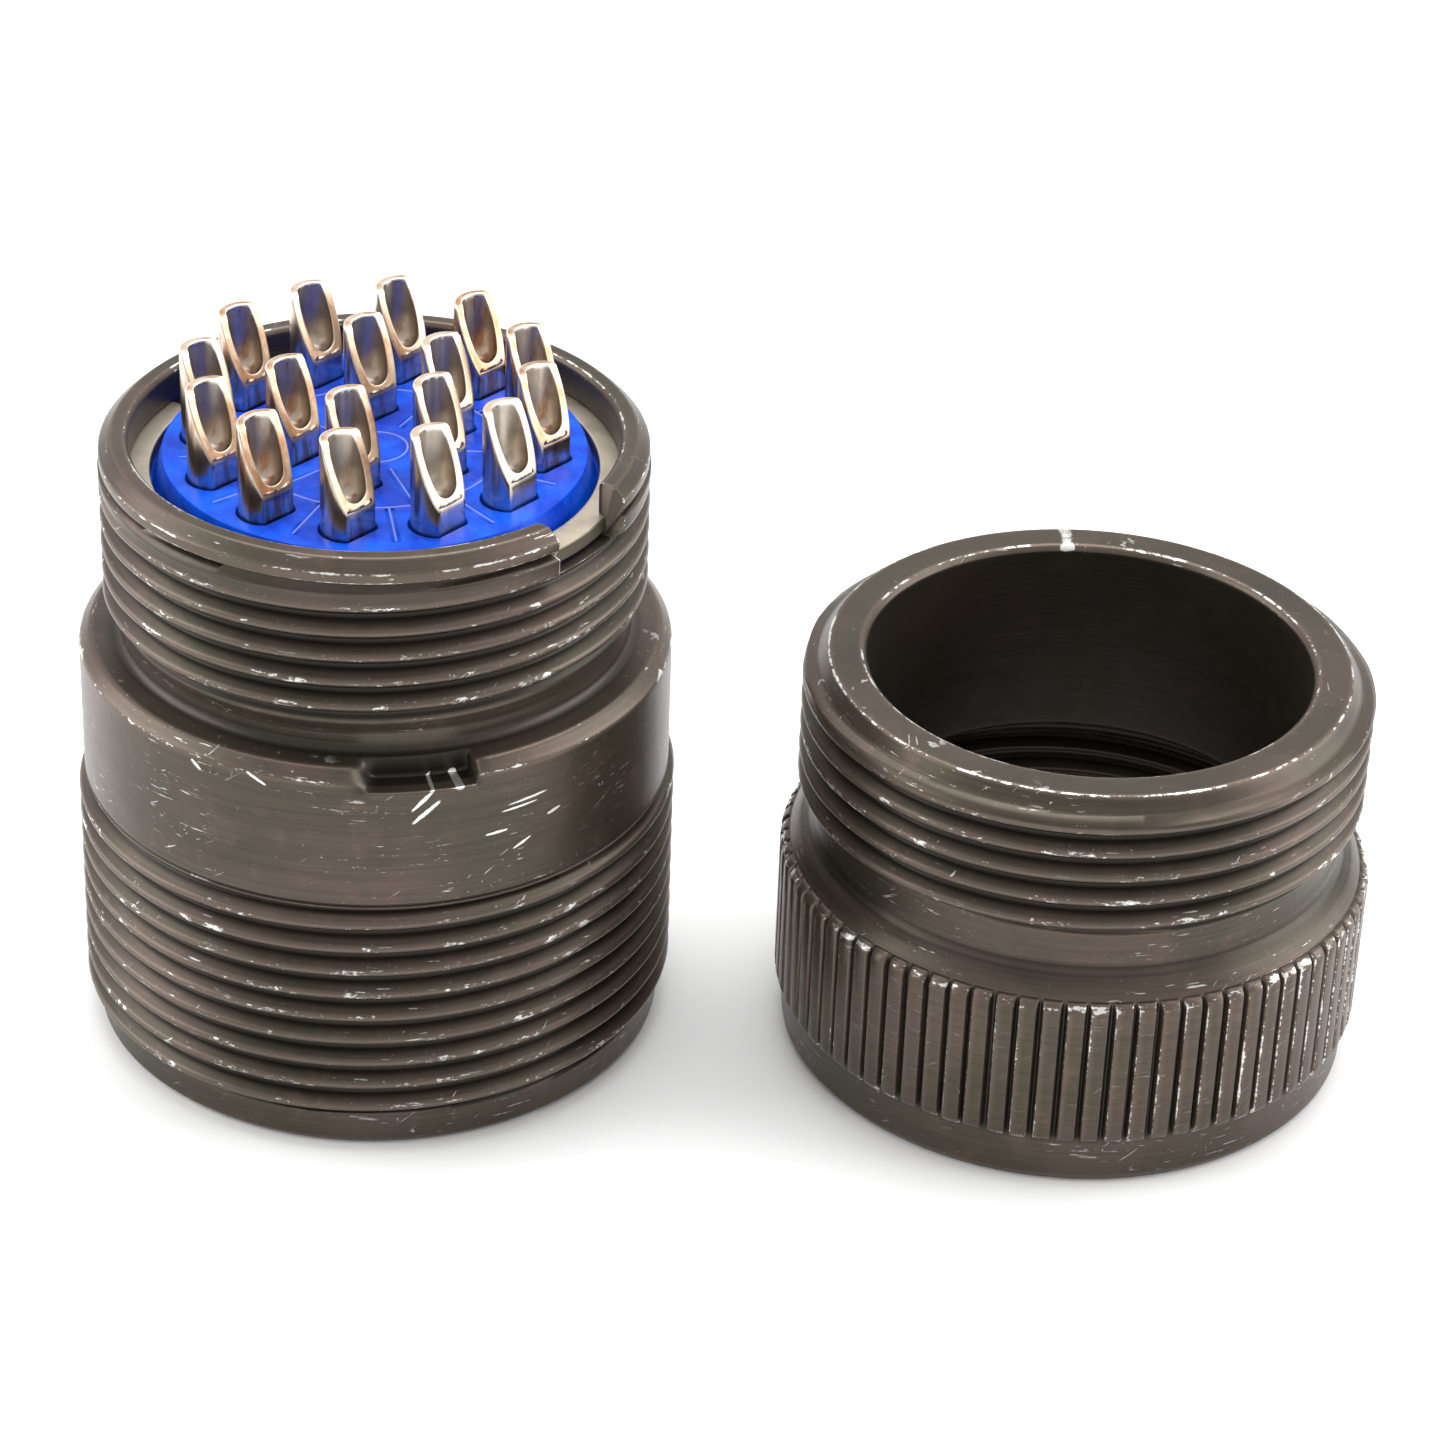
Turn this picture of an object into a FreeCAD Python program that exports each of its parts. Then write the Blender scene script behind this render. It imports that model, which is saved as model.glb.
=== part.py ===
"""Circular multi-pin cable connector with a threaded shell, and the backshell that screws on behind it.

The connector stands on its mating rim with its solder cups up. The backshell stands beside it,
knurled end down, as it would be set down while the wires are soldered.

Millimetres. The origin is the centre of the connector's mating rim, and +Z runs up its axis
towards the solder cups.
"""
import FreeCAD, Part
import math
import os

# ---- screw threads: unified extra-fine, 18 to the inch ----
PITCH = 25.4 / 18
CREST_FLAT = PITCH / 8
ROOT_FLAT = PITCH / 4
THREAD_DEPTH = (PITCH - CREST_FLAT - ROOT_FLAT) / 2 / math.tan(math.radians(30))
COUPLING_TURNS = 9
REAR_TURNS = 5
ACCESSORY_TURNS = 5
THREAD_CLEARANCE = 0.12

# ---- directions round the axis, degrees from +X ----
KEY_AZIMUTH = -34.0
NOTCH_AZIMUTH = -76.5
CUP_AZIMUTH = -40.0

# ---- contacts ----
OUTER_NAMES = "abcdefghjklm"
INNER_NAMES = "nprst"
INNER_CIRCLE_R = 4.2
CIRCLE_SPACING = 4.45
INNER_STEP = 66.3
PIN_R = 0.794
PIN_RECESS = 4.6
PIN_NOSE_R = 0.35
SHANK_R = 1.1
SHANK_START = 1.0
BARREL_R = 1.37
COLLAR_STEP = 0.33
COLLAR_THICKNESS = 1.2
HOLE_CLEARANCE = 0.1
CUP_HEIGHT = 5.05
CUP_WALL = 0.49
CUP_FLOOR = 1.0
FLAT_WALL = 0.07
FLAT_HEIGHT = 1.35
FLAT_ROOT = 2.5
SCOOP_TOP_DISTANCE = -0.6

# ---- inserts and their retaining ring ----
INSERT_CLEARANCE = 0.1
INSERT_PROUD = 0.3
FRONT_INSERT_BODY = 6.7
FLANGE_DROP = 2.7
FACE_DROP = 1.05
BOSS_MARGIN = 2.25
BOSS_TAPER = 0.5
BOSS_CLEARANCE = 0.1
RING_OVERHANG = 1.05
RING_THICKNESS = 0.8
RING_GROOVE_DEPTH = 0.45
RING_SIDE_PLAY = 0.1
RING_EDGE_PLAY = 0.05
RING_GAP = 2.6

# ---- connector shell: walls and steps outward from its bore, heights up from its mating rim ----
REAR_WALL = 1.6
REAR_THREAD_STEP = 1.67
COUPLING_WALL = 2.22
LIP_STEP = 0.62
LIP_HEIGHT = 2.05
LIP_BEVEL = 0.35
CAVITY_DEPTH = 14.3
MOUTH_BEVEL = 0.3
KEYWAY_WIDTH = 2.4
KEYWAY_DEPTH = 0.7
LEDGE_THICKNESS = 1.5
LEDGE_STEP = 0.65
BAND_STEP = 0.32
BAND_HEIGHT = 7.5
BAND_GAP = 0.12
BAND_BEVEL = 0.6
NECK_STEP = 0.85
NECK_HEIGHT = 2.6
NECK_FILLET = 0.5
LAND_STEP = 0.05
LAND_HEIGHT = 0.85
RIM_BEVEL_WIDTH = 0.65
RIM_BEVEL_HEIGHT = 0.6
RIM_INNER_BEVEL = 0.2
SLOT_WIDTH = 5.4
SLOT_DEPTH = 2.95
NOTCH_WIDTH = 5.6
NOTCH_DEPTH = 0.5
NOTCH_RADIAL = 1.0
NOTCH_END_SLOPE = 0.6

# ---- backshell, from its knurled end up ----
STANDING_GAP = 5.83
BACKSHELL_Y = -0.8
HOME_GAP = 0.04
SOCKET_MOUTH_BEVEL = 0.3
SEAT_BEVEL = 0.5
SEAT_WALL = 1.63
FOOT_WALL = 0.68
FOOT_BEVEL = 0.4
FOOT_HEIGHT = 2.6
KNURL_STEP = 0.8
KNURL_DEPTH = 0.4
KNURL_TEETH = 80
KNURL_UNDERCUT = 0.05
KNURL_GROOVE_SHARE = 0.42
KNURL_END_BEVEL = 0.35
SHOULDER_RISE = 1.3
ACCESSORY_STEP = 0.73
BACK_NECK_STEP = 1.05
BACK_NECK_HEIGHT = 2.2
BACK_NECK_WALL = 2.25
ENTRY_BEVEL = 0.25
TOP_LAND = 0.05
TOP_BEVEL_WIDTH = 1.3
TOP_BEVEL_HEIGHT = 0.8

# ---- radii that follow, from the contact layout out to the threads ----
OUTER_CIRCLE_R = INNER_CIRCLE_R + CIRCLE_SPACING
COLLAR_R = BARREL_R + COLLAR_STEP
CUP_BORE_R = BARREL_R - CUP_WALL
FLAT_DISTANCE = CUP_BORE_R + FLAT_WALL
BOSS_TOP_R = OUTER_CIRCLE_R + BOSS_MARGIN
BOSS_BASE_R = BOSS_TOP_R + BOSS_TAPER
RING_INNER_R = BOSS_BASE_R + BOSS_CLEARANCE
BORE_R = RING_INNER_R + RING_OVERHANG
INSERT_R = BORE_R - INSERT_CLEARANCE
LEDGE_R = BORE_R - LEDGE_STEP
REAR_CREST_R = BORE_R + REAR_WALL
NECK_R = REAR_CREST_R - NECK_STEP
LAND_R = REAR_CREST_R - LAND_STEP
RIM_OUTER_R = LAND_R - RIM_BEVEL_WIDTH
COUPLING_CREST_R = REAR_CREST_R + REAR_THREAD_STEP
CAVITY_R = COUPLING_CREST_R - COUPLING_WALL
LIP_R = COUPLING_CREST_R - LIP_STEP
BAND_R = COUPLING_CREST_R - BAND_STEP
SOCKET_ROOT_R = REAR_CREST_R + THREAD_CLEARANCE
FOOT_R = SOCKET_ROOT_R + FOOT_WALL
KNURL_R = FOOT_R + KNURL_STEP
ACCESSORY_CREST_R = SOCKET_ROOT_R + ACCESSORY_STEP
BACK_NECK_R = ACCESSORY_CREST_R - BACK_NECK_STEP
ENTRY_R = BACK_NECK_R - BACK_NECK_WALL
TOP_OUTER_R = ACCESSORY_CREST_R - TOP_BEVEL_WIDTH
BACKSHELL_X = COUPLING_CREST_R + STANDING_GAP + KNURL_R

# ---- heights that follow ----
COUPLING_TOP = LIP_HEIGHT + COUPLING_TURNS * PITCH
BAND_BOTTOM = COUPLING_TOP + BAND_GAP
SHOULDER_Z = BAND_BOTTOM + BAND_HEIGHT + BAND_BEVEL
REAR_THREAD_BOTTOM = SHOULDER_Z + NECK_HEIGHT
REAR_THREAD_TOP = REAR_THREAD_BOTTOM + REAR_TURNS * PITCH
RIM_Z = REAR_THREAD_TOP + LAND_HEIGHT + RIM_BEVEL_HEIGHT
LEDGE_TOP = CAVITY_DEPTH + INSERT_PROUD + LEDGE_THICKNESS
PARTING_Z = LEDGE_TOP + FRONT_INSERT_BODY
FLANGE_TOP = RIM_Z - FLANGE_DROP
FACE_Z = RIM_Z - FACE_DROP
CUP_TOP = FACE_Z + CUP_HEIGHT
FLAT_BOTTOM = FACE_Z - FLAT_ROOT
SEAT_Z = RIM_Z - SHOULDER_Z - HOME_GAP
SOCKET_TOP = SEAT_Z - (RIM_Z - REAR_THREAD_TOP) - PITCH / 2
SOCKET_TURNS = math.floor((SOCKET_TOP - SOCKET_MOUTH_BEVEL) / PITCH)
SOCKET_MOUTH = SOCKET_TOP - SOCKET_TURNS * PITCH
BACK_NECK_BOTTOM = SEAT_Z + SEAT_WALL
KNURL_TOP = BACK_NECK_BOTTOM - SHOULDER_RISE
ACCESSORY_BOTTOM = BACK_NECK_BOTTOM + BACK_NECK_HEIGHT
ACCESSORY_TOP = ACCESSORY_BOTTOM + ACCESSORY_TURNS * PITCH
BACKSHELL_HEIGHT = ACCESSORY_TOP + TOP_LAND + TOP_BEVEL_HEIGHT

AXIS = FreeCAD.Vector(0, 0, 1)
ORIGIN = FreeCAD.Vector(0, 0, 0)
MARGIN = 1.0


def revolved(outline):
    """Solid of revolution about +Z of a closed outline given as (radius, height) points."""
    points = [FreeCAD.Vector(r, 0, z) for r, z in outline]
    wire = Part.makePolygon(points + points[:1])
    return Part.Face(wire).revolve(ORIGIN, AXIS, 360)


def rod(radius, bottom, top, x=0.0, y=0.0):
    """Upright cylinder between two heights."""
    return Part.makeCylinder(radius, top - bottom, FreeCAD.Vector(x, y, bottom), AXIS)


def outward_block(azimuth, near, far, width, bottom, top):
    """Upright block that runs outward along an azimuth from one distance to another."""
    block = Part.makeBox(far - near, width, top - bottom, FreeCAD.Vector(near, -width / 2, bottom))
    block.rotate(ORIGIN, AXIS, azimuth)
    return block


def ridge_outline(crest_r, bottom, turns, depth=THREAD_DEPTH):
    """Outline of evenly pitched ridges, upward; a negative depth makes them point inward."""
    root_r = crest_r - depth
    flank = (PITCH - CREST_FLAT - ROOT_FLAT) / 2
    outline = []
    for turn in range(turns):
        start = bottom + turn * PITCH + ROOT_FLAT / 2
        outline += [
            (root_r, start),
            (crest_r, start + flank),
            (crest_r, start + flank + CREST_FLAT),
            (root_r, start + 2 * flank + CREST_FLAT),
        ]
    return outline


def fillet_outline(centre_r, centre_z, radius, start, end, steps=6):
    """Short arc in an outline, between two angles in degrees."""
    angles = [math.radians(start + (end - start) * i / steps) for i in range(steps + 1)]
    return [(centre_r + radius * math.cos(a), centre_z + radius * math.sin(a)) for a in angles]


def receptacle_shell():
    """Turned one-piece shell: mating thread, plain band, relief neck and rear thread."""
    groove_r = BORE_R + RING_GROOVE_DEPTH
    groove_bottom = FLANGE_TOP - RING_SIDE_PLAY
    groove_top = FLANGE_TOP + RING_THICKNESS + RING_SIDE_PLAY
    neck_root = REAR_CREST_R - THREAD_DEPTH
    outside = [(CAVITY_R + MOUTH_BEVEL, 0), (LIP_R - LIP_BEVEL, 0)]
    outside += [(LIP_R, LIP_BEVEL), (LIP_R, LIP_HEIGHT)]
    outside += ridge_outline(COUPLING_CREST_R, LIP_HEIGHT, COUPLING_TURNS)
    outside += [(COUPLING_CREST_R - THREAD_DEPTH, COUPLING_TOP), (BAND_R, BAND_BOTTOM)]
    outside += [(BAND_R, SHOULDER_Z - BAND_BEVEL), (BAND_R - BAND_BEVEL, SHOULDER_Z)]
    outside += fillet_outline(NECK_R + NECK_FILLET, SHOULDER_Z + NECK_FILLET, NECK_FILLET, 270, 180)
    outside += [(NECK_R, REAR_THREAD_BOTTOM - (neck_root - NECK_R))]
    outside += ridge_outline(REAR_CREST_R, REAR_THREAD_BOTTOM, REAR_TURNS)
    outside += [(neck_root, REAR_THREAD_TOP), (LAND_R, REAR_THREAD_TOP + (LAND_R - neck_root) / 2)]
    outside += [(LAND_R, REAR_THREAD_TOP + LAND_HEIGHT), (RIM_OUTER_R, RIM_Z)]
    inside = [(BORE_R + RIM_INNER_BEVEL, RIM_Z), (BORE_R, RIM_Z - RIM_INNER_BEVEL)]
    inside += [(BORE_R, groove_top), (groove_r, groove_top)]
    inside += [(groove_r, groove_bottom), (BORE_R, groove_bottom)]
    inside += [(BORE_R, LEDGE_TOP), (LEDGE_R, LEDGE_TOP), (LEDGE_R, LEDGE_TOP - LEDGE_THICKNESS)]
    inside += [(CAVITY_R, LEDGE_TOP - LEDGE_THICKNESS), (CAVITY_R, MOUTH_BEVEL)]
    shell = revolved(outside + inside)
    shell = shell.cut(rim_slot())
    shell = shell.cut(keyway())
    return shell.cut(shoulder_notch())


def rim_slot():
    """Square cut through the rear rim, where a tool reaches the retaining ring."""
    near, far = BORE_R - MARGIN, REAR_CREST_R + MARGIN
    return outward_block(KEY_AZIMUTH, near, far, SLOT_WIDTH, RIM_Z - SLOT_DEPTH, RIM_Z + MARGIN)


def keyway():
    """Groove in the cavity's wall that takes the mating plug's key."""
    near, far = CAVITY_R - MARGIN, CAVITY_R + KEYWAY_DEPTH
    return outward_block(KEY_AZIMUTH, near, far, KEYWAY_WIDTH, -MARGIN, LEDGE_TOP - LEDGE_THICKNESS)


def shoulder_notch():
    """Shallow milled notch in the band's upper edge, with sloping ends."""
    low, high = NOTCH_WIDTH / 2 - NOTCH_END_SLOPE, NOTCH_WIDTH / 2 + NOTCH_END_SLOPE
    floor = SHOULDER_Z - BAND_BEVEL - NOTCH_DEPTH / 2
    ceiling = floor + NOTCH_DEPTH * 4
    near = BAND_R - NOTCH_RADIAL
    corners = [(-low, floor), (low, floor), (high, ceiling), (-high, ceiling)]
    points = [FreeCAD.Vector(near, y, z) for y, z in corners]
    face = Part.Face(Part.makePolygon(points + points[:1]))
    notch = face.extrude(FreeCAD.Vector(NOTCH_RADIAL + MARGIN, 0, 0))
    notch.rotate(ORIGIN, AXIS, NOTCH_AZIMUTH)
    return notch


def contact_places():
    """Name and (x, y) of each contact: an outer circle, then an inner arc centred on the key."""
    polar = []
    for i, letter in enumerate(OUTER_NAMES):
        polar.append((letter, OUTER_CIRCLE_R, KEY_AZIMUTH + 360 / len(OUTER_NAMES) * i))
    for i, letter in enumerate(INNER_NAMES):
        place = i - (len(INNER_NAMES) - 1) / 2
        polar.append((letter, INNER_CIRCLE_R, KEY_AZIMUTH + INNER_STEP * place))
    places = []
    for letter, radius, degrees in polar:
        angle = math.radians(degrees)
        places.append(("contact_" + letter, radius * math.cos(angle), radius * math.sin(angle)))
    return places


def flat_cutter(distance, bottom, top):
    """Block that leaves a flat at a distance from a contact's axis, on the side the cup opens to."""
    reach = BARREL_R + MARGIN
    return outward_block(CUP_AZIMUTH, distance, distance + reach, 2 * reach, bottom, top)


def contact():
    """One pin contact on the axis: pin, shank, captive collar, barrel and scooped solder cup."""
    shank_bottom = CAVITY_DEPTH + SHANK_START
    collar_bottom = PARTING_Z - COLLAR_THICKNESS / 2
    collar_top = PARTING_Z + COLLAR_THICKNESS / 2
    nose = PIN_R - PIN_NOSE_R
    outline = [(0, PIN_RECESS), (PIN_NOSE_R, PIN_RECESS)]
    outline += fillet_outline(PIN_NOSE_R, PIN_RECESS + nose, nose, 270, 360)[1:]
    outline += [(PIN_R, shank_bottom), (SHANK_R, shank_bottom), (SHANK_R, collar_bottom)]
    outline += [(COLLAR_R, collar_bottom), (COLLAR_R, collar_top), (BARREL_R, collar_top)]
    outline += [(BARREL_R, CUP_TOP), (0, CUP_TOP)]
    body = revolved(outline)
    floor = FACE_Z + CUP_FLOOR + CUP_BORE_R
    rounded_floor = Part.makeSphere(CUP_BORE_R, FreeCAD.Vector(0, 0, floor))
    body = body.cut(rod(CUP_BORE_R, floor, CUP_TOP + MARGIN).fuse(rounded_floor))
    body = body.cut(flat_cutter(FLAT_DISTANCE, FLAT_BOTTOM, CUP_TOP + MARGIN))
    return body.cut(scoop_cutter())


def scoop_cutter():
    """Wedge that opens the cup along a slope from the flat's upper edge to the cup's top."""
    foot_z = FACE_Z + FLAT_HEIGHT
    slope = (SCOOP_TOP_DISTANCE - FLAT_DISTANCE) / (CUP_TOP - foot_z)
    past = MARGIN
    far = BARREL_R + MARGIN
    corners = [
        (FLAT_DISTANCE - slope * past, foot_z - past),
        (far + MARGIN, foot_z - past),
        (far + MARGIN, CUP_TOP + past),
        (SCOOP_TOP_DISTANCE + slope * past, CUP_TOP + past),
    ]
    points = [FreeCAD.Vector(x, -far, z) for x, z in corners]
    wedge = Part.Face(Part.makePolygon(points + points[:1])).extrude(FreeCAD.Vector(0, 2 * far, 0))
    wedge.rotate(ORIGIN, AXIS, CUP_AZIMUTH)
    return wedge


def stepped_hole(steps):
    """Tool for a stepped hole on the axis, from (radius, bottom, top) steps."""
    tool = rod(*steps[0])
    for step in steps[1:]:
        tool = tool.fuse(rod(*step))
    return tool


def drilled(body, tool):
    """The body with the tool cut out at every contact's place."""
    tools = [tool.translated(FreeCAD.Vector(x, y, 0)) for _, x, y in contact_places()]
    return body.cut(tools)


def front_insert():
    """Hard insert behind the mating cavity, seated on the shell's ledge."""
    nose_r = LEDGE_R - INSERT_CLEARANCE
    body = revolved([
        (0, CAVITY_DEPTH), (nose_r, CAVITY_DEPTH), (nose_r, LEDGE_TOP),
        (INSERT_R, LEDGE_TOP), (INSERT_R, PARTING_Z), (0, PARTING_Z),
    ])
    shank_bottom = CAVITY_DEPTH + SHANK_START
    collar_bottom = PARTING_Z - COLLAR_THICKNESS / 2
    tool = stepped_hole([
        (PIN_R + HOLE_CLEARANCE, CAVITY_DEPTH - MARGIN, shank_bottom),
        (SHANK_R + HOLE_CLEARANCE, shank_bottom, collar_bottom),
        (COLLAR_R + HOLE_CLEARANCE, collar_bottom, PARTING_Z + MARGIN),
    ])
    return drilled(body, tool)


def rear_insert():
    """Blue insert that clamps the contacts' collars; its boss stands inside the retaining ring."""
    body = revolved([
        (0, PARTING_Z), (INSERT_R, PARTING_Z), (INSERT_R, FLANGE_TOP),
        (BOSS_BASE_R, FLANGE_TOP), (BOSS_TOP_R, FACE_Z), (0, FACE_Z),
    ])
    collar_top = PARTING_Z + COLLAR_THICKNESS / 2
    barrel = rod(BARREL_R + HOLE_CLEARANCE, collar_top, FACE_Z + MARGIN)
    barrel = barrel.cut(flat_cutter(FLAT_DISTANCE + HOLE_CLEARANCE, FLAT_BOTTOM, FACE_Z + 2 * MARGIN))
    tool = rod(COLLAR_R + HOLE_CLEARANCE, PARTING_Z - MARGIN, collar_top).fuse(barrel)
    return drilled(body, tool)


def insert_retaining_ring():
    """Flat split ring, sprung into the shell's groove on top of the rear insert's flange."""
    outer = BORE_R + RING_GROOVE_DEPTH - RING_EDGE_PLAY
    below, top = FLANGE_TOP - MARGIN, FLANGE_TOP + RING_THICKNESS
    ring = rod(outer, FLANGE_TOP, top).cut(rod(RING_INNER_R, below, top + MARGIN))
    near, far = RING_INNER_R - MARGIN, outer + MARGIN
    return ring.cut(outward_block(KEY_AZIMUTH + 180, near, far, RING_GAP, below, top + MARGIN))


def knurl_teeth():
    """Toothed prism: broad flat ridges with narrow grooves between them."""
    step = 2 * math.pi / KNURL_TEETH
    groove = step * KNURL_GROOVE_SHARE
    points = []
    for tooth in range(KNURL_TEETH):
        start = tooth * step
        for angle, radius in (
            (start, KNURL_R - KNURL_DEPTH),
            (start + groove / 2, KNURL_R),
            (start + step - groove / 2, KNURL_R),
        ):
            points.append(FreeCAD.Vector(radius * math.cos(angle), radius * math.sin(angle), 0))
    outline = Part.Face(Part.makePolygon(points + points[:1]))
    return outline.extrude(FreeCAD.Vector(0, 0, BACKSHELL_HEIGHT))


def backshell():
    """Knurled backshell: internal thread for the shell, cable bore and accessory thread."""
    knurl_root = KNURL_R - KNURL_DEPTH - KNURL_UNDERCUT
    accessory_root = ACCESSORY_CREST_R - THREAD_DEPTH
    socket_crest = SOCKET_ROOT_R - THREAD_DEPTH
    shoulder = BACK_NECK_BOTTOM - KNURL_TOP
    outside = [(SOCKET_ROOT_R + SOCKET_MOUTH_BEVEL, 0), (FOOT_R, 0)]
    outside += [(knurl_root, FOOT_BEVEL), (knurl_root, FOOT_HEIGHT)]
    outside += [(KNURL_R, FOOT_HEIGHT + KNURL_END_BEVEL), (KNURL_R, KNURL_TOP - KNURL_END_BEVEL)]
    outside += [(knurl_root, KNURL_TOP)]
    outside += fillet_outline(BACK_NECK_R + shoulder, BACK_NECK_BOTTOM, shoulder, 270, 180)
    outside += [(BACK_NECK_R, ACCESSORY_BOTTOM - (accessory_root - BACK_NECK_R))]
    outside += ridge_outline(ACCESSORY_CREST_R, ACCESSORY_BOTTOM, ACCESSORY_TURNS)
    outside += [(accessory_root, ACCESSORY_TOP), (accessory_root, BACKSHELL_HEIGHT - TOP_BEVEL_HEIGHT)]
    outside += [(TOP_OUTER_R, BACKSHELL_HEIGHT)]
    inside = [(ENTRY_R + ENTRY_BEVEL, BACKSHELL_HEIGHT), (ENTRY_R, BACKSHELL_HEIGHT - ENTRY_BEVEL)]
    inside += [(ENTRY_R, SEAT_Z + SEAT_BEVEL), (ENTRY_R + SEAT_BEVEL, SEAT_Z), (SOCKET_ROOT_R, SEAT_Z)]
    inside += reversed(ridge_outline(socket_crest, SOCKET_MOUTH, SOCKET_TURNS, -THREAD_DEPTH))
    inside += [(SOCKET_ROOT_R, SOCKET_MOUTH_BEVEL)]
    body = revolved(outside + inside)
    return body.common(knurl_teeth()).translated(FreeCAD.Vector(BACKSHELL_X, BACKSHELL_Y, 0))


def all_parts():
    """Every node by name."""
    parts = {
        "receptacle_shell": receptacle_shell(),
        "front_insert": front_insert(),
        "rear_insert": rear_insert(),
        "insert_retaining_ring": insert_retaining_ring(),
        "backshell": backshell(),
    }
    pattern = contact()
    for name, x, y in contact_places():
        parts[name] = pattern.translated(FreeCAD.Vector(x, y, 0))
    return parts


os.makedirs("parts", exist_ok=True)
for node, shape in all_parts().items():
    shape.exportStep("parts/" + node + ".step")
    print(node, shape.isValid(), len(shape.Solids), round(shape.Volume, 2))
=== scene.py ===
"""Looks of a threaded multi-pin cable connector and the loose knurled backshell that stands beside it.

The classes hold their sizes in millimetres. Meshes and objects are made in metres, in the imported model's
frame.
"""

import logging
import math
from dataclasses import dataclass, field
from enum import Enum
from typing import Any, Callable

import bpy
import numpy as np
from mathutils import Matrix, Vector
from mathutils.geometry import delaunay_2d_cdt


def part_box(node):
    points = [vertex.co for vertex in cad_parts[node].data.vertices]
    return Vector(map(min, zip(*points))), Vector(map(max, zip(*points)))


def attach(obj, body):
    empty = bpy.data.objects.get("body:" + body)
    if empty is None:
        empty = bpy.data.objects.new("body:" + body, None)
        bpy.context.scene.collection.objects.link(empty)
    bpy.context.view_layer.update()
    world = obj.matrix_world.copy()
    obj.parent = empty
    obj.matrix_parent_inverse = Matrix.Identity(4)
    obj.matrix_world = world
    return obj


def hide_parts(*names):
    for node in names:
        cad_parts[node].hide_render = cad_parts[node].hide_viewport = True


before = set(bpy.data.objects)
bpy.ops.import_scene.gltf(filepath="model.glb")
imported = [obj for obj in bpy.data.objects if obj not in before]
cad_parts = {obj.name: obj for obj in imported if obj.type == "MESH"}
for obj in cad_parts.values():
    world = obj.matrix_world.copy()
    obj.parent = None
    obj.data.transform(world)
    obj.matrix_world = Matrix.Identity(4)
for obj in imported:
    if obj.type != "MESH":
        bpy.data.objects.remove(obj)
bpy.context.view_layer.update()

LOG = logging.getLogger("connector")
MM = 0.001
TURN = 2 * math.pi
THREAD_PITCH = 25.4 / 18
Outline = list[tuple[float, ...]]
Pair = tuple[float, float]
Triple = tuple[float, float, float]


class Body(Enum):
    """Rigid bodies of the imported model."""

    CONNECTOR = "connector"
    BACKSHELL = "loose_backshell"


class Slot(Enum):
    """Names of four material slots."""

    PLATING = "olive_plating"
    BLUE_INSERT = "blue_insert_plastic"
    RING = "spring_steel"
    CONTACT = "plated_contact"


class Mark(Enum):
    """Numbers kept on a mesh's points for its finish to read."""

    EDGE = "edge"
    CUT = "cut"
    TONE = "tone"


# ---------------------------------------------------------------- shader helpers


class Value:
    """A number in a node tree, used in ordinary arithmetic."""

    def __init__(self, tree: bpy.types.NodeTree, socket: bpy.types.NodeSocket) -> None:
        """Wrap an output socket of a tree."""
        self.tree = tree
        self.socket = socket

    def math(self, operation: str, *terms: Any) -> "Value":
        """Add a Math node.

        Args:
            operation: The node's operation.
            terms: Its inputs, numbers or values.

        Returns:
            The node's result.
        """
        node = self.tree.nodes.new("ShaderNodeMath")
        node.operation = operation
        for place, term in zip(node.inputs, terms):
            if isinstance(term, Value):
                self.tree.links.new(term.socket, place)
            else:
                place.default_value = term
        return Value(self.tree, node.outputs[0])

    def __add__(self, other: Any) -> "Value":
        """Sum."""
        return self.math("ADD", self, other)

    def __radd__(self, other: Any) -> "Value":
        """Sum with the number first."""
        return self.math("ADD", other, self)

    def __sub__(self, other: Any) -> "Value":
        """Difference."""
        return self.math("SUBTRACT", self, other)

    def __rsub__(self, other: Any) -> "Value":
        """Difference with the number first."""
        return self.math("SUBTRACT", other, self)

    def __mul__(self, other: Any) -> "Value":
        """Product."""
        return self.math("MULTIPLY", self, other)

    def __rmul__(self, other: Any) -> "Value":
        """Product with the number first."""
        return self.math("MULTIPLY", other, self)

    def __neg__(self) -> "Value":
        """The value with its sign changed."""
        return self.math("MULTIPLY", self, -1.0)

    def __abs__(self) -> "Value":
        """The value without its sign."""
        return self.math("ABSOLUTE", self)

    def above(self, other: Any) -> "Value":
        """The larger of the value and another."""
        return self.math("MAXIMUM", self, other)

    def bearing(self, x: "Value") -> "Value":
        """The angle of the point (x, this value) round the origin, in radians."""
        return self.math("ARCTAN2", self, x)


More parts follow.
